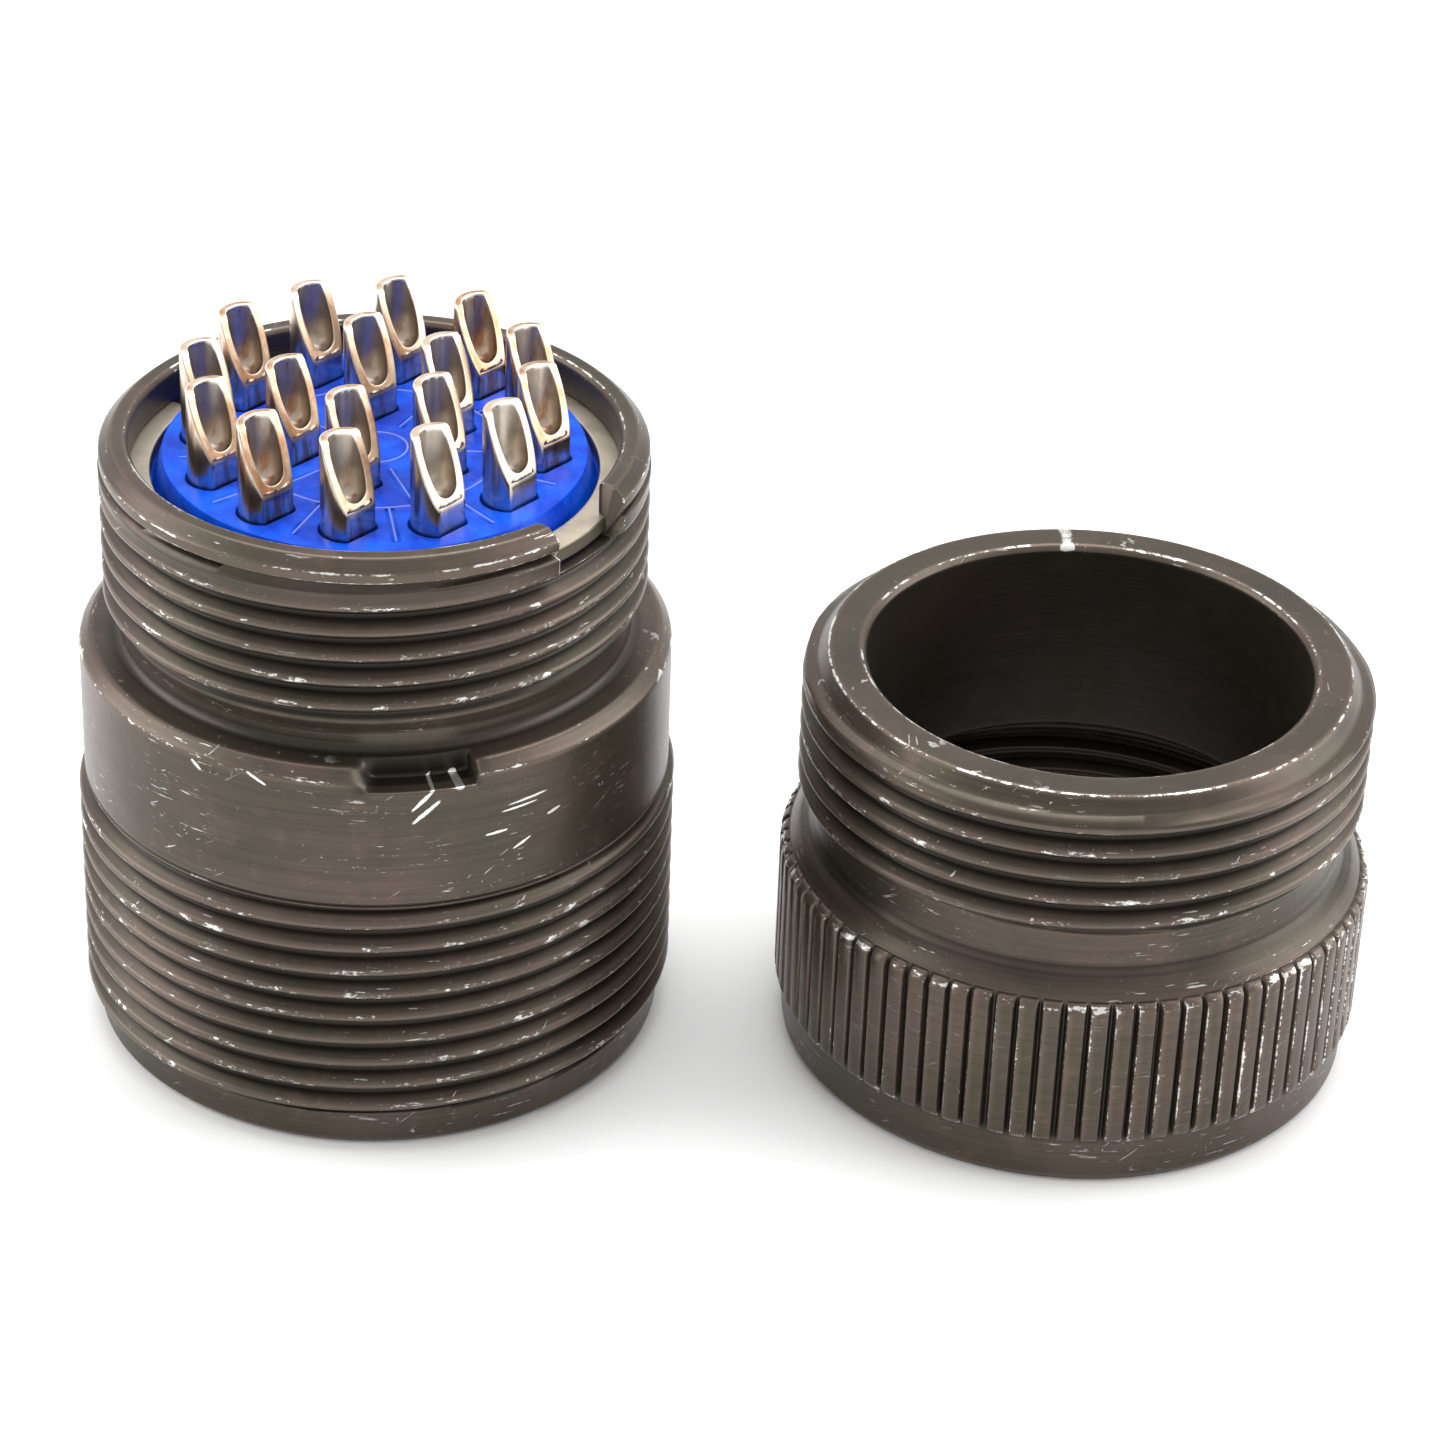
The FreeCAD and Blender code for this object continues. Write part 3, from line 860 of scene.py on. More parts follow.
@dataclass
class ReceptacleShell:
    """The connector's turned shell: mating thread, notched band, neck, rear thread and slotted rim."""

    coupling_r: float
    rim_z: float
    seed: int = 11
    columns_round: int = 240
    pitch: float = THREAD_PITCH
    coupling_turns: int = 9
    rear_turns: int = 5
    rear_step: float = 1.67
    lip_step: float = 0.62
    lip_height: float = 2.05
    lip_bevel: float = 0.35
    lip_top: float = 1.55
    mouth_bevel: float = 0.3
    cavity_r: float = 13.6
    ledge_z: float = 14.6
    ledge_top: float = 16.1
    ledge_r: float = 11.9
    bore_r: float = 12.55
    band_step: float = 0.32
    band_height: float = 7.5
    band_bevel: float = 0.6
    line_depth: float = 0.13
    band_gap: float = 0.12
    neck_r: float = 13.3
    neck_height: float = 2.6
    neck_fillet: float = 0.5
    neck_start: float = 0.55
    land_step: float = 0.05
    land_height: float = 0.85
    rim_width: float = 0.9
    rear_bevel: float = 0.72
    corner_r: float = 0.09
    groove_depth: float = 0.45
    ring_drop: Pair = (1.8, 2.8)
    key_azimuth: float = -34.0
    slot_width: float = 5.4
    slot_depth: float = 2.95
    notch_azimuth: float = -76.5
    notch_width: float = 5.6
    notch_radial: float = 1.62
    notch_drop: float = 1.15
    notch_rows: int = 26
    keyway_width: float = 2.4
    keyway_depth: float = 0.7

    def build(self, finish: bpy.types.Material) -> bpy.types.Object:
        """Make the shell and put it in the scene.

        Args:
            finish: Its plating.

        Returns:
            The object.
        """
        columns = self.columns()
        skin = Skin(columns)
        skin.lay(self.parts(columns))
        self.cut_slot(skin)
        self.cut_keyway(skin)
        skin.knock(self.seed, self.bore_r + 0.3)
        inside = (skin.z < self.rim_z - 0.35) & (skin.r < np.where(skin.z < self.ledge_top, 14.4, 12.9))
        mesh = skin.mesh("shell_turned", inside & (skin.z > 0.2))
        return add_piece(mesh, Body.CONNECTOR, finish, ("receptacle_shell",))

    def columns(self) -> np.ndarray:
        """Column angles: even, but closer at the slot and at the notch's ends.

        Returns:
            Angles in rising order.
        """
        angles = list(even_columns(self.columns_round))
        for centre, half in ((self.key_azimuth, self.slot_half()), (self.notch_azimuth, self.notch_half())):
            middle = math.radians(centre) % TURN
            near = [middle + side * (half + shift) for side in (-1, 1) for shift in self.wall_shifts()]
            angles = [a for a in angles if all(abs(a - n) > 0.006 for n in near)] + near
        return np.array(sorted(angles))

    def wall_shifts(self) -> list[float]:
        """Column places beside a wall, in radians from it; two share the wall itself."""
        return [-0.03, -0.012, -0.0001, 0.0001, 0.0028, 0.0085, 0.022]

    def slot_half(self) -> float:
        """Half the rim slot's angle at the rim's middle radius."""
        return math.asin(self.slot_width / 2 / (self.bore_r + self.rim_width / 2))

    def notch_half(self) -> float:
        """Half the notch's angle."""
        return math.asin(self.notch_width / 2 / (self.coupling_r - self.band_step))

    def parts(self, columns: np.ndarray) -> list[Rows]:
        """All rows, from the mating rim up the outside, over the rear rim and down the inside.

        Args:
            columns: Angles round the axis.

        Returns:
            The parts in order.
        """
        root = self.coupling_r - thread_depth(self.pitch)
        lip_r = self.coupling_r - self.lip_step
        band_r = self.coupling_r - self.band_step
        top = self.lip_height + self.coupling_turns * self.pitch
        band_low = top + self.band_gap
        shoulder = band_low + self.band_height + self.band_bevel
        rear_r = self.coupling_r - self.rear_step
        rear_low = shoulder + self.neck_height
        rear_top = rear_low + self.rear_turns * self.pitch
        land_r = rear_r - self.land_step
        neck_low = shoulder + self.neck_start

        bevel, mouth = self.lip_bevel, self.mouth_bevel
        lip = [(self.cavity_r + mouth, 0), (lip_r - bevel, 0), (lip_r, bevel), (lip_r, self.lip_top)]
        low = turned(lip, columns)
        blank = [(lip_r, self.lip_top), (lip_r, 1.95), (self.coupling_r, 2.35)]
        blank += [(self.coupling_r, top - 0.25), (root, top)]
        coupling = Thread(self.coupling_r, self.lip_height, self.coupling_turns, blank, start=0.25,
                          fade_low=(-0.3, 0.1))
        climb = coupling.rows(self.lip_top, top, columns)
        band = self.band_rows(root, band_r, top, band_low, shoulder, neck_low, columns)
        end_r = rear_r - self.rear_bevel
        blank = [(self.neck_r, neck_low), (self.neck_r, rear_low - 1.5)]
        blank += [(self.neck_r + 0.32, rear_low - 0.62)]
        blank += [(rear_r, rear_low + 0.05), (rear_r, rear_top - 0.1), (end_r, rear_top + 0.02)]
        rear = Thread(rear_r, rear_low, self.rear_turns, blank, fade_high=(4.15, 4.6))
        rear_climb = rear.rows(neck_low, rear_top + 0.02, columns)
        outer = self.bore_r + self.rim_width
        groove = self.bore_r + self.groove_depth
        upper, lower = (self.rim_z - d for d in self.ring_drop)
        over = [(end_r, rear_top + 0.02), (land_r, rear_top + 0.34, 0.8),
                (land_r, rear_top + self.land_height, 0.8)]
        over += [(outer, self.rim_z, 0.6), (self.bore_r + 0.2, self.rim_z, 0.84)]
        over += [(self.bore_r, self.rim_z - 0.2)]
        over += [(self.bore_r, upper), (groove, upper), (groove, lower), (self.bore_r, lower)]
        over += [(self.bore_r, self.ledge_top), (self.ledge_r, self.ledge_top), (self.ledge_r, self.ledge_z)]
        over += [(self.cavity_r, self.ledge_z), (self.cavity_r, mouth), (self.cavity_r + mouth, 0)]
        return [low, climb, band, rear_climb, turned(over, columns, self.corner_r)]

    def band_rows(self, root: float, band_r: float, top: float, band_low: float, shoulder: float,
                  neck_low: float, columns: np.ndarray) -> Rows:
        """Rows of the plain band and shoulder, which dip into the notch over part of the way round.

        Args:
            root: Radius where the mating thread ends.
            band_r: The band's radius.
            top: Height where the mating thread ends.
            band_low: Height of the band's foot.
            shoulder: Height of the band's top.
            neck_low: Height where the neck starts.
            columns: Angles round the axis.

        Returns:
            The rows.
        """
        foot = [(root, top), (band_r - 0.1, band_low - 0.04), (band_r, band_low + 0.14)]
        line_r = band_r - self.line_depth
        foot += [(line_r, band_low + 0.20), (line_r, band_low + 0.30), (band_r, band_low + 0.36)]
        floor = shoulder - self.notch_drop
        foot += [(band_r, floor - 0.5)]
        lower = rounded(foot, 0.05)
        inner = band_r - self.notch_radial
        plain = rounded([(band_r, floor - 0.5), (band_r, shoulder - self.band_bevel, 0.78),
                         (band_r - self.band_bevel, shoulder, 0.6), (inner, shoulder)], 0.16)
        dipped = [(band_r, floor - 0.5), (band_r, floor, 0.8), (inner, floor), (inner, shoulder)]
        dipped = rounded(dipped, 0.10)
        plain, dipped = resampled(plain, self.notch_rows), resampled(dipped, self.notch_rows)
        # the notch's inner floor and back wall are marked as hollow, so the plating paints them in shade
        dipped[:, 2] = np.where(dipped[:, 0] < band_r - 0.5 * self.notch_radial, -0.75, dipped[:, 2])
        curve = self.neck_fillet
        fillet = [(inner, shoulder, 0.0)]
        for step in range(7):
            a = math.radians(270 - 15 * step)
            out, up = curve * math.cos(a), curve * math.sin(a)
            fillet.append((self.neck_r + curve + out, shoulder + curve + up, -0.5))
        fillet.append((self.neck_r, neck_low, 0.0))
        offset = (columns - math.radians(self.notch_azimuth) + math.pi) % TURN - math.pi
        arc = offset * band_r
        half = self.notch_width / 2
        share = smooth(arc, -half - 0.9, -half + 0.5) * (1 - smooth(arc, half - 0.05, half + 0.22))
        stacked = []
        for points in (lower, None, fillet):
            if points is None:
                mixed = plain[:, :, None] * (1 - share) + dipped[:, :, None] * share
            else:
                mixed = np.repeat(np.array(points)[:, :, None], len(columns), axis=2)
            stacked.append(mixed)
        whole = np.vstack(stacked)
        return Rows(whole[:, 0], whole[:, 1], whole[:, 2])

    def cut_slot(self, skin: Skin) -> None:
        """Sink the columns inside the rim slot to its floor, and square its walls.

        Args:
            skin: The surface to cut.
        """
        floor = self.rim_z - self.slot_depth
        middle = math.radians(self.key_azimuth)
        offset = (skin.columns - middle + math.pi) % TURN - math.pi
        half = self.slot_half()
        reference = self.bore_r + self.rim_width / 2
        height = smooth(skin.z, floor - 2.0, floor - 0.2)
        reach = 1 - smooth(np.abs(offset), 1.5 * half, 3 * half)
        across = np.clip(reference * np.sin(np.clip(offset, -1.2, 1.2))[None, :] / skin.r, -0.99, 0.99)
        square = np.arcsin(across)
        blend = height * reach[None, :]
        skin.angle += blend * (square - offset[None, :])
        rim = skin.z > floor
        for column in np.flatnonzero(np.abs(offset) < half):
            inside = np.flatnonzero(rim[:, column] & (skin.r[:, column] > self.bore_r - 0.05))
            first, last = inside[0], inside[-1]
            before = first - 1
            rise = (floor - skin.z[before, column]) / (skin.z[first, column] - skin.z[before, column])
            start = skin.r[before, column] + rise * (skin.r[first, column] - skin.r[before, column])
            skin.r[first : last + 1, column] = np.linspace(start, self.bore_r, last + 1 - first)
            skin.z[first : last + 1, column] = floor
            skin.edge[first : last + 1, column] = np.where(np.arange(last + 1 - first) < 2, 0.8, 0.0)
        beside = (np.abs(offset) > half) & (np.abs(offset) < half + 0.006)
        skin.edge = np.where(rim & beside[None, :] & (skin.r > self.bore_r - 0.05), 0.92, skin.edge)

    def cut_keyway(self, skin: Skin) -> None:
        """Push the cavity's wall out over the keyway.

        Args:
            skin: The surface to cut.
        """
        offset = (skin.columns - math.radians(self.key_azimuth) + math.pi) % TURN - math.pi
        within = np.abs(offset) * self.cavity_r < self.keyway_width / 2
        wall = (np.abs(skin.r - self.cavity_r) < 0.12) & (skin.z < self.ledge_z - 0.05) & (skin.z > 0.25)
        skin.r = np.where(wall & within[None, :], skin.r + self.keyway_depth, skin.r)


def resampled(points: list[Triple], count: int) -> np.ndarray:
    """The same line with a chosen number of points, spread by length.

    Args:
        points: (radius, height, edge) points.
        count: How many to return.

    Returns:
        An array of that many rows.
    """
    line = np.array(points)
    steps = np.hypot(*np.diff(line[:, :2], axis=0).T)
    length = np.concatenate([[0], np.cumsum(steps)])
    wanted = np.linspace(0, length[-1], count)
    return np.stack([np.interp(wanted, length, line[:, i]) for i in range(3)], axis=1)


# ---------------------------------------------------------------- inserts, ring and contacts


@dataclass
class CupShape:
    """The outline of a contact's barrel across its axis, with its flat on the +X side."""

    barrel_r: float = 1.37
    flat: float = 0.95

    def reach(self, angles: np.ndarray, gap: float = 0.0) -> np.ndarray:
        """Distance from the axis to the outline, grown by a gap, at each angle.

        Args:
            angles: Angles round the contact.
            gap: How much the outline is grown.

        Returns:
            Distances in millimetres.
        """
        circle = np.full_like(angles, self.barrel_r + gap)
        cosine = np.cos(angles)
        flat = np.where(cosine > 0.2, (self.flat + gap) / np.maximum(cosine, 0.2), 99.0)
        return soft_least(circle, flat, 0.05)


def soft_least(first: np.ndarray, second: np.ndarray, width: float) -> np.ndarray:
    """The smaller of two, rounded over where they cross.

    Args:
        first: One.
        second: The other.
        width: How wide the rounding is.

    Returns:
        The smaller.
    """
    h = np.clip(0.5 + 0.5 * (second - first) / width, 0, 1)
    return second * (1 - h) + first * h - width * h * (1 - h)


@dataclass
class Contact:
    """One pin contact with its scooped solder cup."""

    node: str
    seed: int
    azimuth: float = -40.0
    columns: int = 64
    pin_r: float = 0.794
    nose_r: float = 0.35
    shank_r: float = 1.1
    collar: Pair = (22.2, 23.4)
    shank_low: float = 15.3
    cup_height: float = 5.05
    bore_r: float = 0.92
    bore_floor: float = 1.35
    flat_height: float = 1.35
    flat_root: float = 2.5
    scoop_top: float = -0.48

    def build(self, finish: bpy.types.Material) -> bpy.types.Object:
        """Make the contact and put it in the scene.

        Args:
            finish: Its plating.

        Returns:
            The object.
        """
        low, high = node_box(self.node)
        centre = ((low.x + high.x) / 2, (low.y + high.y) / 2)
        collar_r = (high.x - low.x) / 2
        rng = np.random.default_rng(self.seed)
        shape = CupShape()
        top = high.z
        face = top - self.cup_height
        angles = self.angles(shape)
        cosine = np.cos(angles)
        slope = (self.cup_height - self.flat_height) / (shape.flat - self.scoop_top)
        lean = rng.uniform(-0.05, 0.05)

        def surface(reach: np.ndarray) -> np.ndarray:
            """Height of the scooped top at each angle, that far from the axis.

            Args:
                reach: Distances from the axis.

            Returns:
                Heights.
            """
            x = reach * cosine
            plane = face + self.flat_height + slope * (shape.flat - x)
            crown = top - 0.04 + lean * reach * np.sin(angles)
            return soft_least(plane, crown, 0.10)

        outer = shape.reach(angles)
        ball = face + self.bore_floor + self.bore_r
        inner = self.mouth(surface, ball, angles)
        wall = outer - inner
        rows: list[tuple[np.ndarray, ...]] = []
        # edge marks are strongest at the crown, where the painted rim highlight is whitest
        crowned = 0.35 + 0.65 * smooth(surface(outer), top - 0.35, top - 0.12)

        def add(reach: Any, z: Any, edge: float = 0.0, cut: float = 0.0) -> None:
            """Note one row of points."""
            flat = np.zeros_like(angles)
            rows.append((flat + reach, flat + z, edge * crowned, flat + cut))

        nose = self.pin_r - self.nose_r
        add(0.0, low.z)
        for step in range(5):
            a = math.radians(22.5 * step)
            add(self.nose_r + nose * math.sin(a), low.z + nose * (1 - math.cos(a)))
        collar_low, collar_high = self.collar
        for reach, z in ((self.pin_r, self.shank_low), (self.shank_r, self.shank_low),
                         (self.shank_r, collar_low), (collar_r, collar_low), (collar_r, collar_high),
                         (shape.barrel_r, collar_high), (shape.barrel_r, face - self.flat_root)):
            add(reach, z)
        add(outer, face - self.flat_root)
        for share in (0.0, 0.5, 0.85):
            add(outer, (face - 0.4) * (1 - share) + (surface(outer) - 0.12) * share)
        add(outer, surface(outer) - 0.12, 0.4)
        lip = np.minimum(0.11, 0.3 * wall)
        self.corner(add, (outer, surface(outer) - 0.12), (outer, surface(outer)),
                    (outer - lip, surface(outer - lip)), 0.5)
        for share in (0.27, 0.5, 0.73):
            reach = outer - wall * share
            add(reach, surface(reach), 0.0, 1.0)
        lip = np.minimum(0.09, 0.25 * wall)
        down = self.inside(inner, surface(inner), ball, 0.07)
        self.corner(add, (inner + lip, surface(inner + lip)), (inner, surface(inner)), down, 0.6)
        for share in (0.08, 0.18, 0.30, 0.42, 0.54, 0.64, 0.72, 0.80, 0.87, 0.94, 1.0):
            add(*self.inside(inner, surface(inner), ball, None, share), 0.0, -1.0)
        mesh = self.mesh(rows, angles, rng)
        return add_piece(mesh, Body.CONNECTOR, finish, (self.node,), centre)

    def angles(self, shape: CupShape) -> np.ndarray:
        """Angles round the contact, with one at each edge of the flat.

        Args:
            shape: The barrel's outline.

        Returns:
            Angles in rising order.
        """
        corner = math.acos(shape.flat / shape.barrel_r)
        share = round(self.columns * corner / math.pi / 2) * 2
        front = np.linspace(-corner, corner, share, endpoint=False)
        back = np.linspace(corner, TURN - corner, self.columns - share, endpoint=False)
        return np.concatenate([front, back])

    def mouth(self, surface: Callable[[np.ndarray], np.ndarray], ball: float,
              angles: np.ndarray) -> np.ndarray:
        """Distance from the axis at which the bore comes out of the scooped top, at each angle.

        Args:
            surface: Height of the scooped top, by distance from the axis.
            ball: Height of the round bottom's centre.
            angles: Angles round the contact.

        Returns:
            Distances in millimetres.
        """
        found = np.full_like(angles, self.bore_r)
        settled = np.zeros(len(angles), bool)
        for reach in np.linspace(self.bore_r, self.bore_r * 0.8, 60):
            bottom = ball - math.sqrt(max(self.bore_r**2 - reach**2, 0))
            clear = surface(np.full_like(angles, reach)) >= bottom
            found = np.where(clear & ~settled, reach, found)
            settled |= clear
        return found

    def inside(self, inner: np.ndarray, z: np.ndarray, ball: float, depth: float | None,
               share: float = 0.0) -> tuple[np.ndarray, np.ndarray]:
        """A row down the bore and its round bottom.

        Args:
            inner: Distance of the bore's mouth from the axis.
            z: Height of the bore's mouth.
            ball: Height of the round bottom's centre.
            depth: Depth below the mouth, or None to use the share.
            share: Share of the way to the lowest point.

        Returns:
            Distances from the axis, and heights.
        """
        straight = np.maximum(z - ball, 0)
        widest = np.where(straight > 0, math.pi / 2, np.arcsin(np.clip(inner / self.bore_r, 0, 1)))
        length = straight + self.bore_r * widest
        gone = np.full_like(inner, depth) if depth is not None else length * share
        angle = np.clip(widest - np.maximum(gone - straight, 0) / self.bore_r, 0, math.pi / 2)
        upright = gone < straight
        reach = np.where(upright, inner, self.bore_r * np.sin(angle))
        return reach, np.where(upright, z - gone, ball - self.bore_r * np.cos(angle))

    def corner(self, add: Callable[..., None], start: tuple, corner: tuple, end: tuple, cut: float) -> None:
        """Rows that round off a corner of the wall.

        Args:
            add: Notes one row.
            start: Where the rounding starts, as (reach, height).
            corner: The sharp corner.
            end: Where the rounding ends.
            cut: How far the rows belong to the scoop.
        """
        for t in (0.25, 0.5, 0.75, 1.0):
            weights = ((1 - t) ** 2, 2 * t * (1 - t), t * t)
            reach, z = (sum(w * p[i] for w, p in zip(weights, (start, corner, end))) for i in range(2))
            add(reach, z, 1.0, cut)

    def mesh(self, rows: list, angles: np.ndarray, rng: np.random.Generator) -> bpy.types.Mesh:
        """Join the rows into a closed mesh, with the cup facing its azimuth.

        Args:
            rows: (reach, height, edge, cut) of each row.
            angles: Angles round the contact.
            rng: Source of its small differences.

        Returns:
            The mesh.
        """
        turn = angles + math.radians(self.azimuth + rng.uniform(-2.5, 2.5))
        points = np.array([around(r, turn, z) for r, z, _, _ in rows]) * MM
        count, across = len(rows), len(angles)
        index = np.arange(count * across).reshape(count, across)
        after = np.roll(index, -1, axis=1)
        faces = np.stack([index[:-1], after[:-1], after[1:], index[1:]], axis=-1).reshape(-1, 4)
        tone = rng.uniform(0, 1)
        marks = {
            Mark.EDGE: np.concatenate([row[2] for row in rows]),
            Mark.CUT: np.concatenate([row[3] for row in rows]),
            Mark.TONE: np.full(count * across, tone),
        }
        return joined_mesh(self.node + "_plated", points.reshape(-1, 3), faces, marks)


@dataclass
class RearInsert:
    """The blue insert round the solder cups: a tapered boss with D-shaped holes and moulded lines."""

    nodes: tuple[str, ...]
    face_z: float
    parting_z: float
    flange_z: float
    flange_r: float
    cup_azimuth: float = -40.0
    boss_top_r: float = 10.9
    boss_base_r: float = 11.4
    hole_gap: float = 0.12
    hole_points: int = 48
    rim_points: int = 240
    bevel: float = 0.06
    line_width: float = 0.16
    line_height: float = 0.05
    circle_r: float = 6.5
    hub_r: float = 1.65

    def build(self, finish: bpy.types.Material) -> list[bpy.types.Object]:
        """Make the insert and the moulded lines on its face.

        Args:
            finish: Its plastic.

        Returns:
            The body and the lines.
        """
        body = add_piece(self.body_mesh(), Body.CONNECTOR, finish, ("rear_insert",))
        lines = add_piece(self.line_mesh(), Body.CONNECTOR, finish, ())
        return [body, lines]

    def centres(self) -> list[Pair]:
        """Places of the contacts' axes."""
        boxes = [node_box(node) for node in self.nodes]
        return [((low.x + high.x) / 2, (low.y + high.y) / 2) for low, high in boxes]

    def hole(self, centre: Pair, gap: float) -> np.ndarray:
        """Outline of one D-shaped hole.

        Args:
            centre: The contact's axis.
            gap: Room left round the barrel.

        Returns:
            Points round the hole.
        """
        angles = np.linspace(0, TURN, self.hole_points, endpoint=False)
        reach = CupShape().reach(angles, gap)
        turn = angles + math.radians(self.cup_azimuth)
        return np.stack([centre[0] + reach * np.cos(turn), centre[1] + reach * np.sin(turn)], axis=-1)

    def body_mesh(self) -> bpy.types.Mesh:
        """Face and underside pierced by the holes, the holes' walls, and the turned side.

        Returns:
            The mesh.
        """
        rim = np.linspace(0, TURN, self.rim_points, endpoint=False)
        edge_r = self.boss_top_r - 0.12
        flat = [np.stack([edge_r * np.cos(rim), edge_r * np.sin(rim)], axis=-1)]
        flat += [self.hole(centre, self.hole_gap + self.bevel) for centre in self.centres()]
        loops, start = [], 0
        for ring in flat:
            loops.append(np.arange(start, start + len(ring)))
            start += len(ring)
        plan = np.vstack(flat)
        edges = [(int(a), int(b)) for ring in loops for a, b in zip(ring, np.roll(ring, -1))]
        made = delaunay_2d_cdt([Vector(p) for p in plan], edges, [], 1, 1e-6)
        spots, triangles = np.array([tuple(v) for v in made[0]]), made[2]
        holes = np.array(self.centres())
        points, faces, marks = [], [], []

        def put(xyz: np.ndarray, mark: Any) -> np.ndarray:
            """Add points and return their numbers.

            Args:
                xyz: Places in millimetres.
                mark: Edge mark of them all, or of each.

            Returns:
                Their numbers.
            """
            first = sum(len(p) for p in points)
            points.append(xyz)
            marks.append(np.broadcast_to(mark, len(xyz)))
            return np.arange(first, first + len(xyz))

        upper = put(np.column_stack([spots, np.full(len(spots), self.face_z)]), 0.0)
        lower = put(np.column_stack([spots, np.full(len(spots), self.parting_z)]), 0.0)
        for triangle in triangles:
            middle = spots[list(triangle)].mean(axis=0)
            if self.clear_of_holes(middle, holes):
                faces.append([upper[i] for i in triangle])
                faces.append([lower[i] for i in reversed(triangle)])
        for centre in self.centres():
            rings = []
            # marks: 0.6 on each hole's bevel for a painted highlight, -1 down the hole for painted shade
            for gap, z, mark in ((self.hole_gap + self.bevel, self.face_z, 0.0),
                                 (self.hole_gap + self.bevel * 0.3, self.face_z - self.bevel * 0.3, 0.6),
                                 (self.hole_gap, self.face_z - self.bevel, 0.0),
                                 (self.hole_gap, self.face_z - 0.9, -1.0),
                                 (self.hole_gap + self.bevel, self.parting_z, -1.0)):
                ring = self.hole(centre, gap)
                rings.append(put(np.column_stack([ring, np.full(len(ring), z)]), mark))
            faces += strip(rings, True)
        side = [(edge_r, self.face_z), (self.boss_top_r, self.face_z), (self.boss_base_r, self.flange_z)]
        side += [(self.flange_r, self.flange_z), (self.flange_r, self.parting_z), (edge_r, self.parting_z)]
        rings = []
        for r, z, mark in rounded(side, 0.08):
            rings.append(put(around(r, rim, z), mark))
        faces += strip(rings[::-1], True)
        stacked = np.vstack(points) * MM
        return joined_mesh("rear_insert_moulding", stacked, faces, {Mark.EDGE: np.concatenate(marks)})

    def clear_of_holes(self, spot: np.ndarray, holes: np.ndarray) -> bool:
        """True if a spot on the face lies outside every hole.

        Args:
            spot: A place on the face.
            holes: The holes' centres.

        Returns:
            Whether it is clear.
        """
        offsets = spot - holes
        angles = np.arctan2(offsets[:, 1], offsets[:, 0]) - math.radians(self.cup_azimuth)
        reach = CupShape().reach(angles, self.hole_gap + self.bevel)
        return bool(np.all(np.hypot(*offsets.T) > reach - 0.01))

    def line_mesh(self) -> bpy.types.Mesh:
        """Low ridges that part the contacts from each other: two circles and spokes between the holes.

        Returns:
            The mesh.
        """
        points: list[np.ndarray] = []
        faces: list[list[int]] = []
        paths = [(self.arc(self.circle_r, 0, 360), True), (self.arc(self.hub_r, -120, 110), False)]
        around = sorted(math.atan2(y, x) for x, y in self.centres() if math.hypot(x, y) > self.circle_r)
        within = sorted(math.atan2(y, x) for x, y in self.centres() if math.hypot(x, y) < self.circle_r)
        for ring, low, high in ((around, self.circle_r + 0.1, 10.0), (within, 2.5, self.circle_r - 0.1)):
            for first, second in zip(ring, ring[1:] + [ring[0] + TURN]):
                a = (first + second) / 2
                paths.append((np.array([[r * math.cos(a), r * math.sin(a)] for r in (low, high)]), False))
        for path, closed in paths:
            self.ridge(path, closed, points, faces)
        stacked = np.vstack(points) * MM
        across = [mark for _, _, mark in self.section()]
        marks = {Mark.EDGE: np.tile(across, len(stacked) // len(across))}
        return joined_mesh("rear_insert_lines", stacked, faces, marks)

    def arc(self, radius: float, start: float, end: float) -> np.ndarray:
        """Points along an arc on the face."""
        angles = np.radians(np.linspace(start, end, 120, endpoint=end - start < 360))
        return np.stack([radius * np.cos(angles), radius * np.sin(angles)], axis=-1)

    def section(self) -> list[Triple]:
        """Points across a ridge, its top marked for a painted highlight and a margin on each side for
        painted shade.

        Returns:
            (distance, height above the face, edge) points.
        """
        half, margin = self.line_width / 2, self.line_width * 1.5
        left = [(-margin - 0.05, -0.02, -0.6), (-margin, 0.008, -0.6), (-half - 0.02, 0.008, -0.6)]
        left += [(-half * 0.5, self.line_height, 0.9)]
        return left + [(-reach, rise, mark) for reach, rise, mark in reversed(left)]

    def ridge(self, path: np.ndarray, closed: bool, points: list[np.ndarray],
              faces: list[list[int]]) -> None:
        """Add a low ridge along a path, with its feet just under the face.

        Args:
            path: Places along the ridge.
            closed: True if the ridge meets its own start.
            points: Points so far, added to.
            faces: Faces so far, added to.
        """
        ahead = np.gradient(path, axis=0)
        if closed:
            ahead = np.roll(path, -1, axis=0) - np.roll(path, 1, axis=0)
        side = np.stack([-ahead[:, 1], ahead[:, 0]], axis=-1) / np.hypot(*ahead.T)[:, None]
        first = sum(len(p) for p in points)
        for spot, across in zip(path, side):
            section = []
            for reach, rise, _ in self.section():
                section.append((*(spot + across * reach), self.face_z + rise))
            points.append(np.array(section))
        wide = len(self.section())
        rings = [np.arange(first + wide * i, first + wide * (i + 1)) for i in range(len(path))]
        if closed:
            rings.append(rings[0])
        faces += strip(rings[::-1], True)
        if not closed:
            faces.append(list(rings[0]))
            faces.append(list(rings[-1][::-1]))


def strip(rings: list[np.ndarray], closed: bool) -> list[list[int]]:
    """Faces between successive rings of point numbers.

    Args:
        rings: Rings with the same number of points.
        closed: True if each ring joins up with itself.

    Returns:
        Four-sided faces.
    """
    faces = []
    for lower, upper in zip(rings[:-1], rings[1:]):
        span = range(len(lower)) if closed else range(len(lower) - 1)
        for i in span:
            j = (i + 1) % len(lower)
            faces.append([int(lower[i]), int(lower[j]), int(upper[j]), int(upper[i])])
    return faces


